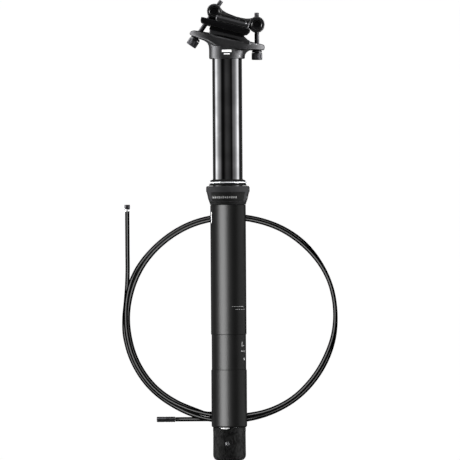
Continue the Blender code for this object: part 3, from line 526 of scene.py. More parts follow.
# all that is left outside the tent: plain white to the camera, almost nothing as light
world = bpy.data.worlds.new("studio")
scene.world = world
world.use_nodes = True
sky = world.node_tree
sky.nodes.clear()
shown = addNode(sky, "ShaderNodeLightPath")
dim = addNode(sky, "ShaderNodeBackground", None, {"Color": (1, 1, 1, 1), "Strength": 0.03})
plain = addNode(sky, "ShaderNodeBackground", None, {"Color": (1, 1, 1, 1), "Strength": 1.0})
either = addNode(sky, "ShaderNodeMixShader", None, {
    "Fac": shown.outputs["Is Camera Ray"], 1: dim.outputs["Background"], 2: plain.outputs["Background"]})
addNode(sky, "ShaderNodeOutputWorld", None, {"Surface": either.outputs["Shader"]})

# softboxes aimed at the post: angle from straight up, to the right and along the post, distance and
# size in metres, radiance, and which pieces they fall on
lamps = {
    "tubeKey": {"angle": -36, "away": 1.2, "size": (1.0, 2.0), "radiance": 8.8, "lit": "tubeLamps"},
    "tubeRight": {"angle": 95, "away": 1.2, "size": (1.6, 2.0), "radiance": 0.6, "lit": "tubeLamps"},
    "tubeLeft": {"angle": -130, "away": 1.2, "size": (0.9, 2.0), "radiance": 0.2, "lit": "tubeLamps"},
    "cableTop": {"angle": -12, "away": 1.2, "size": (1.0, 1.0), "radiance": 4.5, "lit": "cableLamp"},
    "topFill": {"angle": 0, "away": 1.2, "size": (1.0, 2.0), "radiance": 1.3, "lit": "topFill"},
    "topEnd": {"angle": 0, "along": 50, "away": 1.2, "size": (0.6, 0.6), "radiance": 8.0, "lit": "tent"},
}
for name, box in lamps.items():
    lamp = bpy.data.lights.new(name, "AREA")
    lamp.shape = "RECTANGLE"
    lamp.size, lamp.size_y = box["size"]
    lamp.energy = box["radiance"] * math.pi * lamp.size * lamp.size_y
    softbox = bpy.data.objects.new(name, lamp)
    scene.collection.objects.link(softbox)
    aside, along = math.radians(box["angle"]), math.radians(box.get("along", 0))
    toward = (math.sin(aside) * math.cos(along), math.sin(along), math.cos(aside) * math.cos(along))
    softbox.location = [box["away"] * part for part in toward]
    softbox.rotation_euler = (-along, aside, 0)
    softbox.light_linking.receiver_collection = litBy[box["lit"]]
print("camera, floor and light made")

cable = {
    "radius": 1.95,
    "coilCentre": (0.2, 126.4),
    "upperTail": [
        (-90.0, 222.3, 2.5), (-90.0, 214.0, 2.2), (-90.0, 200.0, 1.95), (-90.0, 185.0, 1.95),
        (-90.0, 169.2, 1.95), (-90.6, 155.0, 1.95), (-91.9, 140.0, 1.95), (-93.1, 128.0, 1.95)],
    # share of a turn, how far outside the mean ring, and height over the ground
    "coil": [
        (0.02, 1.45, 1.95), (0.056, 2.0, 1.95), (0.111, 2.35, 1.95), (0.139, 1.85, 1.95),
        (0.165, 1.4, 1.95), (0.2, 1.6, 6.05), (0.275, 1.2, 6.05), (0.325, 1.4, 1.95), (0.361, 1.65, 1.95),
        (0.417, 1.25, 1.95), (0.472, 1.1, 1.95), (0.5, 0.6, 1.95), (0.528, 0.85, 1.95),
        (0.556, 1.3, 1.95), (0.583, 1.4, 1.95), (0.611, 2.05, 1.95), (0.639, 2.1, 1.95),
        (0.667, 1.7, 1.95), (0.694, 1.15, 1.95), (0.722, 0.95, 1.95), (0.806, 1.2, 1.95),
        (0.861, 0.7, 1.95), (0.889, 0.8, 1.95), (0.917, 1.5, 2.6), (0.944, 1.3, 6.0), (0.972, 0.3, 5.8),
        (1.0, -0.5, 5.5), (1.03, -0.5, 5.35), (1.06, 0.0, 5.35), (1.115, 0.35, 5.35), (1.14, -0.1, 5.35),
        (1.165, -1.2, 5.4), (1.2, -2.5, 6.05), (1.275, -2.9, 6.05), (1.306, -1.6, 6.05),
        (1.34, -0.9, 5.3), (1.361, -0.65, 5.15), (1.389, -1.2, 4.85), (1.444, -1.1, 4.95),
        (1.472, 0.0, 5.7), (1.5, 0.4, 5.95), (1.556, 1.3, 6.05), (1.583, 1.0, 6.0), (1.611, 0.35, 5.5),
        (1.639, 0.0, 5.3), (1.667, -0.1, 5.45), (1.694, -0.75, 5.4), (1.75, -1.0, 5.4),
        (1.806, -0.9, 5.3), (1.861, -1.45, 5.4), (1.889, -1.5, 5.3), (1.917, -1.7, 5.0),
        (1.944, -2.1, 4.5), (1.972, -2.3, 3.2), (2.0, -2.2, 1.95), (2.03, -2.4, 1.95),
        (2.056, -1.95, 1.95), (2.083, -1.75, 1.95), (2.111, -1.6, 1.95), (2.139, -2.1, 1.95),
        (2.167, -3.1, 1.95), (2.18, -3.1, 1.95)],
    "inner": [
        (-26.8, 43.3), (-21.9, 41.6), (-16.5, 41.2), (-11.5, 42.6), (-7.6, 46.6), (-5.4, 52.5),
        (-4.8, 60.0), (-5.2, 68.0), (-6.2, 85.0), (-7.6, 105.0), (-9.6, 135.0), (-11.9, 165.0),
        (-13.6, 188.0), (-13.0, 196.6), (-9.6, 202.8), (-4.6, 206.4), (1.0, 207.2), (6.4, 205.4),
        (10.8, 201.4), (13.4, 195.4), (13.9, 187.0), (13.1, 165.0), (11.9, 135.0), (10.6, 105.0),
        (9.2, 80.0), (8.2, 62.0), (7.5, 54.0), (5.2, 46.8), (1.5, 41.2), (-4.0, 37.7), (-10.5, 36.4)],
    "lowerTail": [
        (-20.0, 36.4, 1.95), (-31.0, 36.4, 1.95), (-41.9, 36.4, 1.95), (-45.0, 36.4, 2.1),
        (-48.0, 36.4, 2.5)],
    "step": 1.4,    # mm between the rings of the tube
}


# a coil turn: at share s of a turn the angle is 180 + 360 s degrees, and the radius is a slightly
# oval ring, 91.9 + cos a + 1.6 cos(2 a - 10 degrees), plus an offset. Offset and height are read on
# straight lines between the keys, then averaged under a raised-cosine window 1/20 of a turn wide
def coilRoute():
    keys = np.array(cable["coil"])
    share = np.arange(keys[0, 0], keys[-1, 0], 1 / 240)
    window = np.hanning(15)[1:-1]
    window /= window.sum()
    rows = [np.pad(np.interp(share, keys[:, 0], keys[:, k]), 6, "edge") for k in (1, 2)]
    offset, height = (np.convolve(row, window, "valid")[::4] for row in rows)
    share = share[::4]
    angle = math.pi + 2 * math.pi * share
    radius = 91.9 + np.cos(angle) + 1.6 * np.cos(2 * angle - math.radians(10)) + offset
    x = cable["coilCentre"][0] + radius * np.cos(angle)
    z = cable["coilCentre"][1] + radius * np.sin(angle)
    return np.stack([x, z, height], -1)


# a Catmull-Rom curve through the points: half (2 b + (c - a) t + (2 a - 5 b + 4 c - d) t^2
# + (3 b - a - 3 c + d) t^3), then read again at even steps of its length
def smoothRoute(points, step):
    p = np.concatenate([[2 * points[0] - points[1]], points, [2 * points[-1] - points[-2]]])
    a, b, c, d = (p[k:len(p) - 3 + k, None] for k in range(4))
    t = np.linspace(0, 1, 24, endpoint=False)[None, :, None]
    line = 2 * b + (c - a) * t + (2 * a - 5 * b + 4 * c - d) * t ** 2 + (3 * b - a - 3 * c + d) * t ** 3
    line = 0.5 * line
    line = np.concatenate([line.reshape(-1, 3), points[-1:]])
    run = np.concatenate([[0], np.cumsum(np.linalg.norm(np.diff(line, axis=0), axis=1))])
    even = np.linspace(0, run[-1], int(run[-1] / step) + 1)
    return np.stack([np.interp(even, run, line[:, k]) for k in range(3)], -1), run[-1]


# a circle carried along the route: its plane is square to the route, with one axis kept level
def tubeAlong(line, radius, sides=16):
    heading = np.gradient(line, axis=0)
    heading /= np.linalg.norm(heading, axis=1, keepdims=True)
    level = np.cross(heading, [0, 0, 1.0])
    level /= np.linalg.norm(level, axis=1, keepdims=True)
    upward = np.cross(level, heading)
    angle = fullTurn(sides)
    spread = level[:, None] * np.cos(angle)[None, :, None] + upward[:, None] * np.sin(angle)[None, :, None]
    return line[:, None] + radius * spread


def makeCable():
    inner = np.column_stack([np.array(cable["inner"]), np.full(len(cable["inner"]), 1.95)])
    route = np.concatenate([np.array(cable["upperTail"]), coilRoute(), inner, np.array(cable["lowerTail"])])
    line, length = smoothRoute(route, cable["step"])
    x, z, height = line.T
    height = np.maximum(height, cable["radius"])
    path = np.stack([x, z - post["length"] / 2, height], -1)
    skin = skinOf(tubeAlong(path, cable["radius"]) * mm)
    piece = finishPiece(bareObject("cableHousing", skin), jacket, "outer_body",
                        ["cable_coil", "cable_hidden_loop", "cable_lower_tail", "cable_upper_tail"],
                        60, ("cableLamp",))
    print(f"cable housing is {length:.0f} mm long")
    return piece, path * mm, length * mm


ferrule = {"radius": 2.5, "bore": 1.0, "upperX": -90.0, "upper": (222.6, 228.3), "split": 1.1,
           "lower": (-64.9, -48.3), "lowerZ": 36.4}


# profile (radius, distance along) turned about a line lying along the post, or across it
def lyingTurned(profile, centre, height, across, sides=40):
    r, s, h = turnedRings(profile, sides)
    flatX, flatY = (h, centre[1] + r) if across else (centre[0] + r, h)
    ground = np.stack([flatX, flatY - post["length"] / 2, height + s], -1)
    return skinOf(ground * mm, True)


def makeFerrules():
    r, bore = ferrule["radius"], ferrule["bore"]
    low, high = ferrule["upper"]
    split = low + ferrule["split"]
    centre = (ferrule["upperX"], 0)
    ringShape = [(bore, low), (r + 0.1, low), (r + 0.1, split), (bore, split)]
    ringShape = softCorners(ringShape, [0.1, 0.35, 0.35, 0.1])
    capShape = [(bore, split + 0.3), (r - 0.1, split + 0.3), (r - 0.1, split + 0.9), (r, split + 1.3),
                (r, high), (bore + 0.5, high), (bore, high - 0.8)]
    capShape = softCorners(capShape, [0.1, 0.2, 0.3, 0.3, 0.5, 0.3, 0.3])
    ring = bareObject("upperFerruleRing", lyingTurned(ringShape, centre, r + 0.1, False))
    cap = bareObject("upperFerrule", lyingTurned(capShape, centre, r + 0.1, False))
    low, high = ferrule["lower"]
    crimps = [(r if k % 2 else r - 0.22, high - 2.0 - 1.1 * k) for k in range(7)]
    shape = [(bore, low), (r - 0.5, low), (r - 0.1, low + 0.7), (r - 0.1, high - 10.2)]
    shape += crimps[::-1] + [(r, high - 0.8), (r - 0.25, high), (bore, high)]
    tail = bareObject("lowerFerrule", lyingTurned(softCorners(shape, 0.25), (0, ferrule["lowerZ"]), r, True))
    finishPiece(ring, brightSteel, "outer_body", ["upper_ferrule_ring"])
    finishPiece(cap, blackOxide, "outer_body", ["upper_ferrule"])
    finishPiece(tail, blackOxide, "outer_body", ["lower_ferrule"])
    return [ring, cap, tail]


cablePiece, cablePath, cableLength = makeCable()
makeFerrules()
print("cable made")

tube = {"radius": 15.8, "bore": 14.3, "bottom": 29.6, "top": 227.4, "relief": (81.0, 112.1),
        "reliefRadius": 15.3, "neckRadius": 14.95, "neckTop": 237.9}


def makeOuterTube():
    r, low, high = tube["radius"], *tube["relief"]
    shape = [(tube["bore"], tube["bottom"]), (r - 1.1, tube["bottom"]), (r, tube["bottom"] + 1.1),
             (r, low - 0.35), (tube["reliefRadius"], low), (tube["reliefRadius"], high), (r, high + 0.35),
             (r, tube["top"]), (tube["neckRadius"], tube["top"]), (tube["neckRadius"], tube["neckTop"]),
             (tube["bore"], tube["neckTop"])]
    shape = softCorners(shape, [0.2, 0.4, 0.5, 0.15, 0.15, 0.15, 0.15, 0.2, 0.2, 0.2, 0.2], 3)
    piece = bareObject("outerTube", turnedUp(evenly(shape, 12.0), 128))
    finishPiece(piece, blasted, "outer_body", ["outer_tube"], lit=("tubeLamps",))


# a raised bar on a round surface: a small rectangle carried round an arc, whose middle faces `angle`
# degrees from straight up, `wide` mm across and `tall` mm high at height z; the surface may widen
# upwards by `flare` mm a mm
def etchedBar(radius, angle, wide, z, tall, flare=0.0, thick=0.05):
    spread = wide / radius / 2
    aside = np.linspace(math.radians(angle) - spread, math.radians(angle) + spread, max(4, int(wide * 2)))
    widen = flare * tall / 2
    corners = np.array([(radius - 0.3 - widen, z - tall / 2), (radius + thick - widen, z - tall / 2),
                        (radius + thick + widen, z + tall / 2), (radius - 0.3 + widen, z + tall / 2)])
    r = corners[None, :, 0]
    x = r * np.sin(aside)[:, None]
    y = -r * np.cos(aside)[:, None]
    return skinOf(layDown(x, y, corners[None, :, 1] + 0 * x))


def makeTubeMarks():
    r, low = tube["radius"], tube["reliefRadius"]
    bars = [etchedBar(r, 33, 13.0, 137.2, 0.3)]                                   # insertion limit
    bars += [etchedBar(r, 24 + 7.5 * k, 1.1, 134.6, 0.45) for k in range(6)]
    bars += [etchedBar(low, 50, 0.7, 103.6, 4.4), etchedBar(low, 57, 2.2, 102.2, 0.8)]
    bars += [etchedBar(low, 47 + 6.5 * k, 1.0, 97.4, 0.9) for k in range(4)]
    bars += [etchedBar(low, 62, 2.2, 90.4, 1.8)]
    finishPiece(bareObject("tubeMarks", together(*bars)), dullEtched, "outer_body", [])
    badge = [etchedBar(r, -70, 0.9, 216.4, 9.6)]
    finishPiece(bareObject("tubeBadge", together(*badge)), etched, "outer_body", [])


collar = {"bottom": 227.7, "top": 244.3, "panels": 3, "panelAngle": 104.0, "panelDepth": 0.45,
          "panelBand": (230.6, 238.8), "footTop": 230.4, "soft": 0.28}


# 0 to 1 and back to 0 across a band, with soft ends `soft` wide
def band(value, low, high, soft):
    up = np.clip((value - low) / soft + 0.5, 0, 1)
    down = np.clip((high - value) / soft + 0.5, 0, 1)
    return up * up * (3 - 2 * up) * down * down * (3 - 2 * down)


# 1 in a finger panel and 0 outside it; the panels sink the collar's flank by a flat-bottomed step
def collarPanels(r, h, angle):
    pitch = 2 * math.pi / collar["panels"]
    off = np.abs((angle + math.pi / 2 + pitch / 2) % pitch - pitch / 2)
    halfPanel = math.radians(collar["panelAngle"]) / 2
    return band(off, -1, halfPanel, 0.02) * band(h, *collar["panelBand"], collar["soft"]) * (r > 15.9)


def collarBulge(r, h, angle):
    return r - collar["panelDepth"] * collarPanels(r, h, angle)


def makeCollar():
    outside = [(16.0, 227.7), (16.2, 229.2), (16.7, 230.2), (17.5, 231.4), (18.0, 232.8), (18.35, 234.4),
               (18.7, 236.0), (19.05, 237.6), (19.3, 238.9), (19.4, 239.8), (19.4, 243.3), (18.9, 244.1),
               (18.1, 244.3), (16.0, 244.3)]
    inside = [(16.0, 238.3), (15.25, 238.2), (15.25, 227.7)]
    shape = evenly(softCorners(outside + inside, 0.35, 3), 0.5)
    piece = bareObject("screwCollar", turnedUp(shape, 180, bulge=collarBulge))
    angle = np.arange(180)[None, :] * 2 * math.pi / 180
    r, h = shape[:, :1] + 0 * angle, shape[:, 1:] + 0 * angle
    # painted shade: the sunk finger panels and the foot under the collar's flare take the darker tone
    shade = np.maximum(collarPanels(r, h, angle + 0 * r), h < collar["footTop"])
    piece.data.attributes.new("dark", "FLOAT", "POINT").data.foreach_set("value", shade.ravel())
    finishPiece(piece, collarBlack, "outer_body", ["collar"], lit=("tent", "topFill"))
    ticks = [etchedBar(17.86, -63 + 6.2 * k, 1.2, 234.2, (1.8, 1.4)[k % 2], 0.22) for k in range(15)]
    ticks += [etchedBar(17.86, 66 + 6.2 * k, 1.2, 234.2, 1.5, 0.22) for k in range(2)]
    marks = bareObject("collarMarks", together(*ticks))
    finishPiece(marks, dullEtched, "outer_body", [], lit=("tent", "topFill"))


seal = {"bottom": 244.6, "top": 250.2, "inner": 13.4, "ringRadius": 16.55, "ringZ": 247.4, "ringThick": 0.6}


def makeSeal():
    inner, low, high = seal["inner"], seal["bottom"], seal["top"]
    shape = [(inner, low), (16.9, low), (16.75, low + 0.8), (16.0, low + 1.6), (15.8, low + 2.7),
             (15.95, low + 3.6), (16.1, low + 4.1), (15.5, low + 4.8), (14.4, low + 5.2), (13.7, high),
             (13.35, high - 0.1), (13.6, high - 1.6), (inner, high - 3.0)]
    piece = bareObject("wiperSeal", turnedUp(softCorners(shape, 0.4, 3), 96))
    finishPiece(piece, sealRubber, "outer_body", ["wiper_seal"])
    turnAround = fullTurn(16)
    thick = seal["ringThick"]
    hoop = np.column_stack([seal["ringRadius"] + thick * np.cos(turnAround),
                            seal["ringZ"] + thick * np.sin(turnAround)])
    ring = bareObject("springRing", turnedUp(hoop, 128))
    finishPiece(ring, zincPlate, "outer_body", ["wiper_ring"], 60)


makeOuterTube()
makeTubeMarks()
makeCollar()
makeSeal()
print("outer tube and collar made")

stanchion = {"radius": 13.25, "bore": 11.9, "bottom": 150.0, "top": 372.0}


def makeStanchion():
    r, bore, low, high = (stanchion[k] for k in ("radius", "bore", "bottom", "top"))
    shape = softCorners([(bore, low), (r - 0.5, low), (r, low + 0.5), (r, high), (bore, high)], 0.2, 3)
    piece = bareObject("stanchionTube", turnedUp(evenly(shape, 15.0), 160))
    finishPiece(piece, polished, "stanchion_body", ["stanchion"])


cap = {"radius": 14.6, "wall": 1.6, "top": 29.52, "corner": 5.0, "cableX": -7.0, "holeRadius": 3.2,
       "screwX": -1.6, "screwZ": 15.3, "screwRadius": 1.75, "notch": (-8.0, 0.0), "notchDepth": 1.2}


# rings from the hole's edge over the corner to the rim, and back down inside. The lip stands proud
# by a hair; the rim dips by the notch's depth where x is inside the notch, on the side facing up
def makeBaseCap():
    r, top, corner, wall = cap["radius"], cap["top"], cap["corner"], cap["wall"]
    turnAround = np.linspace(-math.pi / 2, 0, 9)
    rounded = [(r - corner + corner * math.cos(a), corner + corner * math.sin(a)) for a in turnAround]
    outside = rounded + [(r - 0.1, 15.0), (r - 0.15, 25.6), (r, 26.1), (r, 28.9), (r - 0.35, top)]
    inside = [(r - wall, top), (r - wall, corner), (r - wall - 2, 2.0)]
    profile = evenly(np.array(outside + inside), 1.0)
    last = np.nonzero(np.all(np.abs(profile - inside[-1]) < 1e-6, axis=1))[0][0]
    profile = profile[:last + 1]
    angle = fullTurn(144)
    ringR, ringZ = profile[:, :1] + 0 * angle, profile[:, 1:] + 0 * angle
    x, y = ringR * np.cos(angle), ringR * np.sin(angle)
    inNotch = band(x, *cap["notch"], 0.3) * (y < 0) * np.clip((ringZ - 27.0) / 2.3, 0, 1)
    z = ringZ - cap["notchDepth"] * inNotch
    hole = np.stack([cap["cableX"] + cap["holeRadius"] * np.cos(angle), cap["holeRadius"] * np.sin(angle)])
    rings = [layDown(hole[0], hole[1], 2.0), layDown(hole[0], hole[1], 0.0), *layDown(x, y, z)]
    piece = bareObject("baseCap", skinOf(np.stack(rings), True))
    drill = bareObject("drill", turnedAcross([(2.05, -20.0), (2.05, -8.0)], (cap["screwX"], cap["screwZ"]),
                                             32, False))
    cut(piece, [drill])
    finishPiece(piece, mouldedCap, "outer_body", ["base_cap"])
    # painted highlight: a pale matt strip on the housing's rim, seen in the notch, stands in for the bright
    # aluminium's reflection
    rimHighlight = bareObject("paintedRimHighlight", etchedBar(14.0, -16.6, 7.7, 28.95, 1.2))
    finishPiece(rimHighlight, etched, "outer_body", [])


# a screw end: the outer circle, then the six-sided socket
def socketRings(profile, socketWidth, socketDepth, down, sides=48):
    radius, height = np.array(profile, float).T
    angle = fullTurn(sides)
    hexagon = hexagonRadius(socketWidth, angle)
    rows = [(r + 0 * angle, h) for r, h in zip(radius, height)]
    face = height[-1]
    rows += [(hexagon + 0.15, face), (hexagon, face - 0.15 * down), (hexagon, face - socketDepth * down)]
    rows += [(hexagon * 0.3, face - (socketDepth + 0.5) * down)]
    r = np.stack([row[0] for row in rows])
    h = np.stack([row[1] + 0 * angle for row in rows])
    return r * np.cos(angle), r * np.sin(angle), h


def makeCapScrew():
    r = cap["screwRadius"]
    a, b, h = socketRings([(r, 8.0), (r, 14.05), (r - 0.3, 14.45)], 1.5, 1.2, 1, 48)
    rings = layDown(cap["screwX"] + a, -h, cap["screwZ"] + b)
    finishPiece(bareObject("capScrew", skinOf(rings)), dullZinc, "outer_body", ["cap_screw"])


makeStanchion()
makeBaseCap()
makeCapScrew()
print("stanchion and cap made")

bolts = {
    "front": {"centre": (26.4, 4.4), "lean": 0.0, "tip": 10.7, "length": 42.1, "washer": 3.4},
    "rear": {"centre": (-13.2, 6.3), "lean": math.radians(34.6), "tip": 11.4, "length": 48.5, "washer": 2.1},
}
boltSize = {"radius": 2.1, "headRadius": 4.75, "headLength": 6.4, "hole": 2.75, "socket": 4.0,
            "socketDepth": 3.2, "pitch": 0.8, "threadDepth": 0.24, "knurls": 28, "knurlDepth": 0.16}
for name, bolt in bolts.items():
    bolt["origin"] = fromClamp(*bolt["centre"])
    bolt["face"] = bolt["tip"] - bolt["length"]
    bolt["headTop"] = bolt["face"] + boltSize["headLength"]
    bolt["seat"] = bolt["headTop"] + bolt["washer"] + 0.6


def drillLeaning(bolt, radius, low, high):
    rod = [(radius, low), (radius, high)]
    return bareObject("drill", turnedLeaning(rod, bolt["origin"], bolt["lean"], 48, False))


head = {
    "radius": 16.0, "bottom": 357.4, "troughRadius": 10.75, "troughHalf": 12.25, "blockHalf": 14.0,
    "socketRadius": 13.55, "socketTop": 372.3, "seatRadius": 5.6, "neckSpan": (359.0, 376.0),
    # the neck's reach to the left, to the right and towards the viewer, as (height, reach)
    "neckLeft": [(359.0, -15.9), (366.0, -16.0), (369.0, -16.3), (371.5, -17.3), (373.5, -19.8),
                 (375.0, -23.5), (376.0, -26.5)],
    "neckRight": [(359.0, 15.9), (360.5, 16.0), (362.2, 16.8), (363.8, 18.3), (365.2, 21.0),
                  (366.4, 24.5), (376.0, 24.5)],
    "neckTop": [(359.0, 16.0), (364.0, 15.4), (369.0, 14.4), (376.0, 14.3)],
    "neckPower": [(359.0, 2.0), (368.0, 2.1), (376.0, 2.4)],
    # the deck's ends, its upper and its lower edge line, as (x, z), and how square its edges are
    "deckEnds": (-33.3, 33.6), "deckEdge": 0.35,
    "deckHigh": [(-33.3, 380.4), (-32.2, 382.2), (-29.6, 383.0), (-24.2, 382.4), (-15.3, 380.7),
                 (-4.5, 378.2), (5.4, 375.8), (19.3, 373.0), (25.2, 371.6), (31.6, 370.2), (33.0, 369.6),
                 (33.6, 368.6)],
    "deckLow": [(-33.3, 379.6), (-31.0, 378.0), (-24.0, 375.2), (-17.4, 372.8), (-10.0, 368.0),
                (10.0, 364.5), (18.2, 364.9), (24.0, 364.9), (33.0, 365.0), (33.6, 366.4)],
    "block": [(-15.4, 377.0), (-15.5, 383.7), (-14.2, 384.3), (15.6, 376.8), (17.1, 375.8), (18.0, 374.6),
              (18.9, 374.0), (20.6, 373.2), (20.6, 370.0), (-12.0, 371.0)],
}


# the value at `where` on the straight lines between the pairs
def readKeys(where, pairs):
    return np.interp(where, *np.array(pairs).T)


# the neck: level slices whose ends follow the flare of the two arms, left and right, and whose
# plan is a superellipse |x / a|^n + |y / b|^n = 1
def neckShell():
    height = np.linspace(*head["neckSpan"], 24)
    left, right, top = (readKeys(height, head[key]) for key in ("neckLeft", "neckRight", "neckTop"))
    angle = fullTurn(96)
    power = 2 / readKeys(height, head["neckPower"])[:, None]
    c, s = np.cos(angle)[None], np.sin(angle)[None]
    x = signedPower(c, power)
    y = signedPower(s, power) * top[:, None]
    x = np.where(x < 0, -x * left[:, None], x * right[:, None])
    # each slice stays under the deck's slope
    under = np.minimum(height[:, None] + 0 * x, 377.0 - 0.268 * x)
    return skinOf(layDown(x, y, under))


# the deck: slices square to x, each a rounded slab between the upper and the lower edge line,
# as wide as the oval 16 (1 - |x / 36|^2.2)^0.75 is there
def deckShell():
    share = np.linspace(0, 1, 90)
    start, end = head["deckEnds"]
    x = start + (end - start) * (share - np.sin(2 * math.pi * share) / (2 * math.pi) * 0.6)
    high, low = readKeys(x, head["deckHigh"]), readKeys(x, head["deckLow"])
    wide = head["radius"] * (1 - np.abs(x / 36.0) ** 2.2) ** 0.75
    angle = fullTurn(64)
    c, s = np.cos(angle)[None], np.sin(angle)[None]
    y = signedPower(c, head["deckEdge"]) * wide[:, None]
    middle, thick = (high + low)[:, None] / 2, (high - low)[:, None] / 2
    z = middle + signedPower(s, head["deckEdge"]) * thick
    return skinOf(layDown(x[:, None] + 0 * y, y, z))


def makeHead():
    r, low, inCup = head["radius"], head["bottom"], 372.0
    cup = softCorners([(0.5, low), (r, low), (r, inCup), (0.5, inCup)], [0.1, 0.9, 0.3, 0.1])
    cup = turnedUp(cup, 96, False)
    blockShell = plateAcross(evenly(softCorners(head["block"], 0.7), 1.0), head["blockHalf"], 0.6)
    piece = forge("forgedHead", [cup, neckShell(), deckShell(), blockShell], 0.42, 6)
    reach, half = head["troughRadius"], head["troughHalf"]
    trough = turnedAcross([(reach, -half), (reach, half)], (0, post["clampHeight"]), 96, False)
    trough = bareObject("trough", trough)
    reach = head["socketRadius"]
    socket = bareObject("socket", turnedUp([(reach, 350.0), (reach, head["socketTop"])], 96, False))
    drills = [drillLeaning(b, boltSize["hole"], b["face"], -4.0) for b in bolts.values()]
    seats = [drillLeaning(b, head["seatRadius"], b["face"] - 2, b["seat"]) for b in bolts.values()]
    cut(piece, [trough, socket] + drills + seats)
    finishPiece(piece, forged, "stanchion_body", ["head"], 40)
    labels = [etchedBar(r, -1, 8.6, 364.3, 2.0), etchedBar(r, -1, 5.2, 361.6, 0.9)]
    finishPiece(bareObject("headMark", together(*labels)), etched, "stanchion_body", [])


makeHead()
print("head made")


# cylinder head with a knurled side and a hexagon socket, and a shank with a screw thread:
# thread radius = R - depth * triangle wave of (height / pitch - angle / 360)
def boltSkin(bolt):
    size = boltSize
    r, big = size["radius"], size["headRadius"]
    face, top, tip = bolt["face"], bolt["headTop"], bolt["tip"]
    sides = 112
    angle = fullTurn(sides)
    hexagon = hexagonRadius(size["socket"], angle)
    knurl = 0.5 - 0.5 * np.cos(angle * size["knurls"])
    even = 0 * angle
    rows = [(hexagon * 0.3, face + size["socketDepth"] + 0.4), (hexagon, face + size["socketDepth"]),
            (hexagon, face + 0.2), (hexagon + 0.2, face), (big - 0.7 + even, face),
            (big - 0.15 + even, face + 0.3)]
    side = np.linspace(face + 0.6, top - 0.6, 12)
    fade = np.clip(np.minimum(side - face - 0.6, top - 0.6 - side) / 0.4, 0, 1)
    rows += [(big - size["knurlDepth"] * f * knurl, h) for f, h in zip(fade, side)]
    rows += [(big - 0.15 + even, top - 0.3), (big - 0.6 + even, top), (r + 0.3 + even, top),
             (r + even, top + 0.3)]
    plainEnd = tip - 20.0
    rows += [(r + even, plainEnd)]
    height = np.arange(plainEnd + 0.2, tip - 0.4, size["pitch"] / 8)
    wave = (height[:, None] / size["pitch"] - angle[None, :] / (2 * math.pi)) % 1.0
    depth = size["threadDepth"] * 2 * np.abs(wave - 0.5) * np.clip((height - plainEnd) / 1.5, 0, 1)[:, None]
    rows += [(r - d, h) for d, h in zip(depth, height)]
    rows += [(r - 0.3 + even, tip - 0.25), (r - 0.6 + even, tip)]
    radius = np.stack([row[0] for row in rows])
    along = np.stack([row[1] + even for row in rows])
    a, b = radius * np.cos(angle), radius * np.sin(angle)
    lean, (x, z) = bolt["lean"], bolt["origin"]
    return skinOf(layDown(x + a * math.cos(lean) + along * math.sin(lean), b,
                          z - a * math.sin(lean) + along * math.cos(lean)))


def makeBolts():
    for name, bolt in bolts.items():
        piece = bareObject(f"{name}Bolt", boltSkin(bolt))
        finishPiece(piece, blackOxide, f"{name}_bolt", [f"{name}_bolt"], 28)
        low, high = bolt["headTop"] + 0.3, bolt["seat"] - 0.3
        wide, narrow = 4.55, 3.65
        shape = [(2.4, low), (wide, low), (wide, low + 0.5), (narrow, high), (2.4, high)]
        skin = turnedLeaning(softCorners(shape, 0.25), bolt["origin"], bolt["lean"], 64)
        finishPiece(bareObject(f"{name}Washer", skin), blackOxide, "stanchion_body",
                    [f"{name}_bolt_washer"])


makeBolts()
print("bolts made")

clamp = {"half": 25.4, "railSpacing": 43.0, "grooveRadius": 3.6, "railV": -0.4, "keel": 10.4,
         "keelHalf": 11.9, "cheekMiddle": 15.05, "cheekHalf": 0.75,
         "rearHousing": 6.5, "frontHousing": 7.0, "housingHalf": 14.0, "nut": 4.2, "nutHalf": 12.6}


# a bar along the rails, for cutting a rail's groove
def railTool(side):
    angle = fullTurn(64)
    u = np.array([-40.0, 40.0])[:, None] + 0 * angle
    v = clamp["railV"] + clamp["grooveRadius"] * np.cos(angle)[None] + 0 * u
    y = side * clamp["railSpacing"] / 2 + clamp["grooveRadius"] * np.sin(angle)[None] + 0 * u
    x, z = fromClamp(u, v)
    return bareObject("rail", skinOf(layDown(x, y, z)))


# a short stroke on a flat face that looks up, leaning with the clamp
def flatTick(top, long, face):
    along, across = np.array([-math.sin(tilt), -math.cos(tilt)]), np.array([math.cos(tilt), -math.sin(tilt)])
    corners = np.array([top, top + across * 0.35, top + across * 0.35 + along * long, top + along * long])
    x, z = corners.T
    depth = np.array([-face + 0.2, -face - 0.05])[:, None]
    return skinOf(layDown(x[None] + 0 * depth, depth + 0 * x[None], z[None] + 0 * depth))


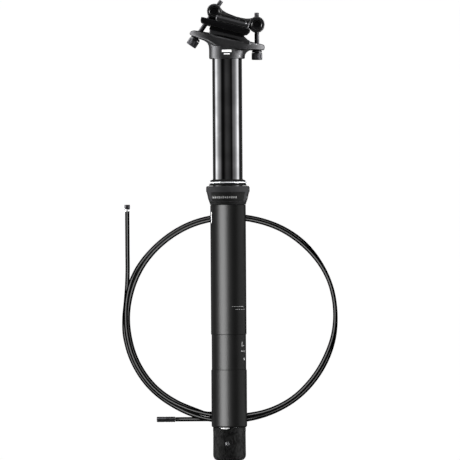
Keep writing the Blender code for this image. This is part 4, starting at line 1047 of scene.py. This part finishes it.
def makeCradle():
    outline = [(-22.8, -1.7), (-22.9, -4.9), (-22.2, -6.0), (-18.1, -7.1), (18.5, -7.1), (20.4, -6.2),
               (22.0, -3.6), (22.2, -1.7)]
    bar = plateAcross(evenly(softCorners(outline, 0.7), 1.5), clamp["half"], 0.7, True)
    piece = bareObject("clampCradle", bar)
    halfTurn = math.acos(5.5 / clamp["keel"])
    sweep = np.linspace(-math.pi / 2 - halfTurn, -math.pi / 2 + halfTurn, 40)
    keelOutline = clamp["keel"] * np.stack([np.cos(sweep), np.sin(sweep)], -1)
    keel = bareObject("keel", plateAcross(keelOutline, clamp["keelHalf"], 0.4, True))
    cheek = evenly(softCorners([(-13.0, -6.4), (-13.6, -10.2), (-12.8, -10.8), (17.4, -9.9), (18.4, -9.0),
                                (18.2, -6.4)], 0.6), 2.0)
    middle, half = clamp["cheekMiddle"], clamp["cheekHalf"]
    cheeks = [bareObject("cheek", plateAcross(cheek, half, 0.25, True, side * middle)) for side in (-1, 1)]
    cut(piece, [keel] + cheeks, "UNION")
    slot = drillLeaning(bolts["rear"], 3.4, -24.0, 0.0)
    cut(piece, [railTool(-1), railTool(1), slot])
    finishPiece(piece, cradleBlack, "saddle_clamp", ["cradle"])
    face = middle + half
    ticks = [flatTick((-6.6 + 1.9 * k, 386.1 - 0.51 * k), (0.5, 0.8, 1.6)[k % 3], face) for k in range(5)]
    finishPiece(bareObject("tiltTicks", together(*ticks)), dullEtched, "saddle_clamp", [],
                lit=("tent", "topFill"))
    scale = [flatTick((-1.5 + 1.5 * k, 381.6 - 0.38 * k), 0.7, 14.0) for k in range(6)]
    finishPiece(bareObject("tiltScale", together(*scale)), dullEtched, "stanchion_body", [],
                lit=("tent", "topFill"))


# the wings: slices square to the rails, each the same section, low over the rails and raised between
def wingShell():
    half = clamp["half"]
    side = [(half, -1.3), (half, 1.2), (half - 0.7, 3.2), (half - 2.8, 5.1), (half - 7.4, 5.9)]
    section = side + [(-y, v) for y, v in side[::-1]]
    section = evenly(softCorners(section, [0.2, 0.3, 0.8, 0.8, 0.8, 0.8, 0.8, 0.8, 0.3, 0.2]), 1.5)
    rings = plateRings(section, 15.0, 0.5)
    y, v, along = np.moveaxis(rings, -1, 0)
    x, z = fromClamp(along + 5.0, v)
    return skinOf(layDown(x, y, z))


def housingShell(centre, radius):
    half = clamp["housingHalf"]
    shape = softCorners([(0.5, -half), (radius, -half), (radius, half), (0.5, half)], [0.1, 0.9, 0.9, 0.1])
    return turnedAcross(shape, fromClamp(*centre), 72, False)


def makeUpperClamp():
    bridge = [(22.0, 1.0), (22.0, 9.6), (20.4, 8.6), (18.4, 7.5), (14.1, 6.7), (6.4, 6.6), (-1.6, 7.6),
              (-6.0, 8.9), (-9.0, 11.0), (-16.6, 2.0), (-17.0, -1.3), (20.0, -1.3)]
    arch = plateAcross(evenly(softCorners(bridge, 0.6), 1.2), 12.0, 0.9, True)
    shells = [wingShell(), arch, housingShell(bolts["rear"]["centre"], clamp["rearHousing"]),
              housingShell(bolts["front"]["centre"], clamp["frontHousing"])]
    piece = forge("upperClamp", shells, 0.4, 3)
    tools = [railTool(-1), railTool(1)]
    for bolt in bolts.values():
        bore = [(clamp["nut"] + 0.3, -30.0), (clamp["nut"] + 0.3, 30.0)]
        tools += [bareObject("bore", turnedAcross(bore, bolt["origin"], 72, False)),
                  drillLeaning(bolt, boltSize["hole"] + 0.3, -12.0, 12.0)]
    cut(piece, tools)
    finishPiece(piece, clampBlack, "saddle_clamp", ["upper_clamp"], 40)


# cross-drilled round nut with a turned recess in each end
def makeBarrelNuts():
    r, half = clamp["nut"], clamp["nutHalf"]
    for name, bolt in bolts.items():
        shape = [(0.8, -half + 1.3), (2.5, -half + 1.3), (2.9, -half), (r - 0.4, -half), (r, -half + 0.4)]
        shape = shape + [(radius, -h) for radius, h in shape[::-1]]
        piece = bareObject(f"{name}BarrelNut", turnedAcross(shape, bolt["origin"], 64, False))
        cut(piece, [drillLeaning(bolt, boltSize["hole"], -12.0, 12.0)])
        finishPiece(piece, cradleBlack, "saddle_clamp", [f"{name}_barrel_nut"])


makeCradle()
makeUpperClamp()
makeBarrelNuts()
print("clamp made")

keptLooks = {
    "actuator_housing": bareAluminium, "actuator_lever": brightSteel, "cable_anchor": brass,
    "cartridge_body": bareAluminium, "cartridge_rod": brightSteel, "cartridge_top_nut": bareAluminium,
    "foam_ring": foam, "key_1": brass, "key_2": brass, "key_3": brass, "lever_pivot_pin": blackOxide,
    "lower_bush": acetal, "return_spring": brightSteel, "rod_gland": acetal, "rod_piston": bareAluminium,
    "upper_bush": acetal, "valve_pin": brightSteel,
}
for name, look in keptLooks.items():
    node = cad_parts[name]
    node.data.materials.clear()
    node.data.materials.append(look)
    litBy["tent"].objects.link(node)
print("kept pieces finished")
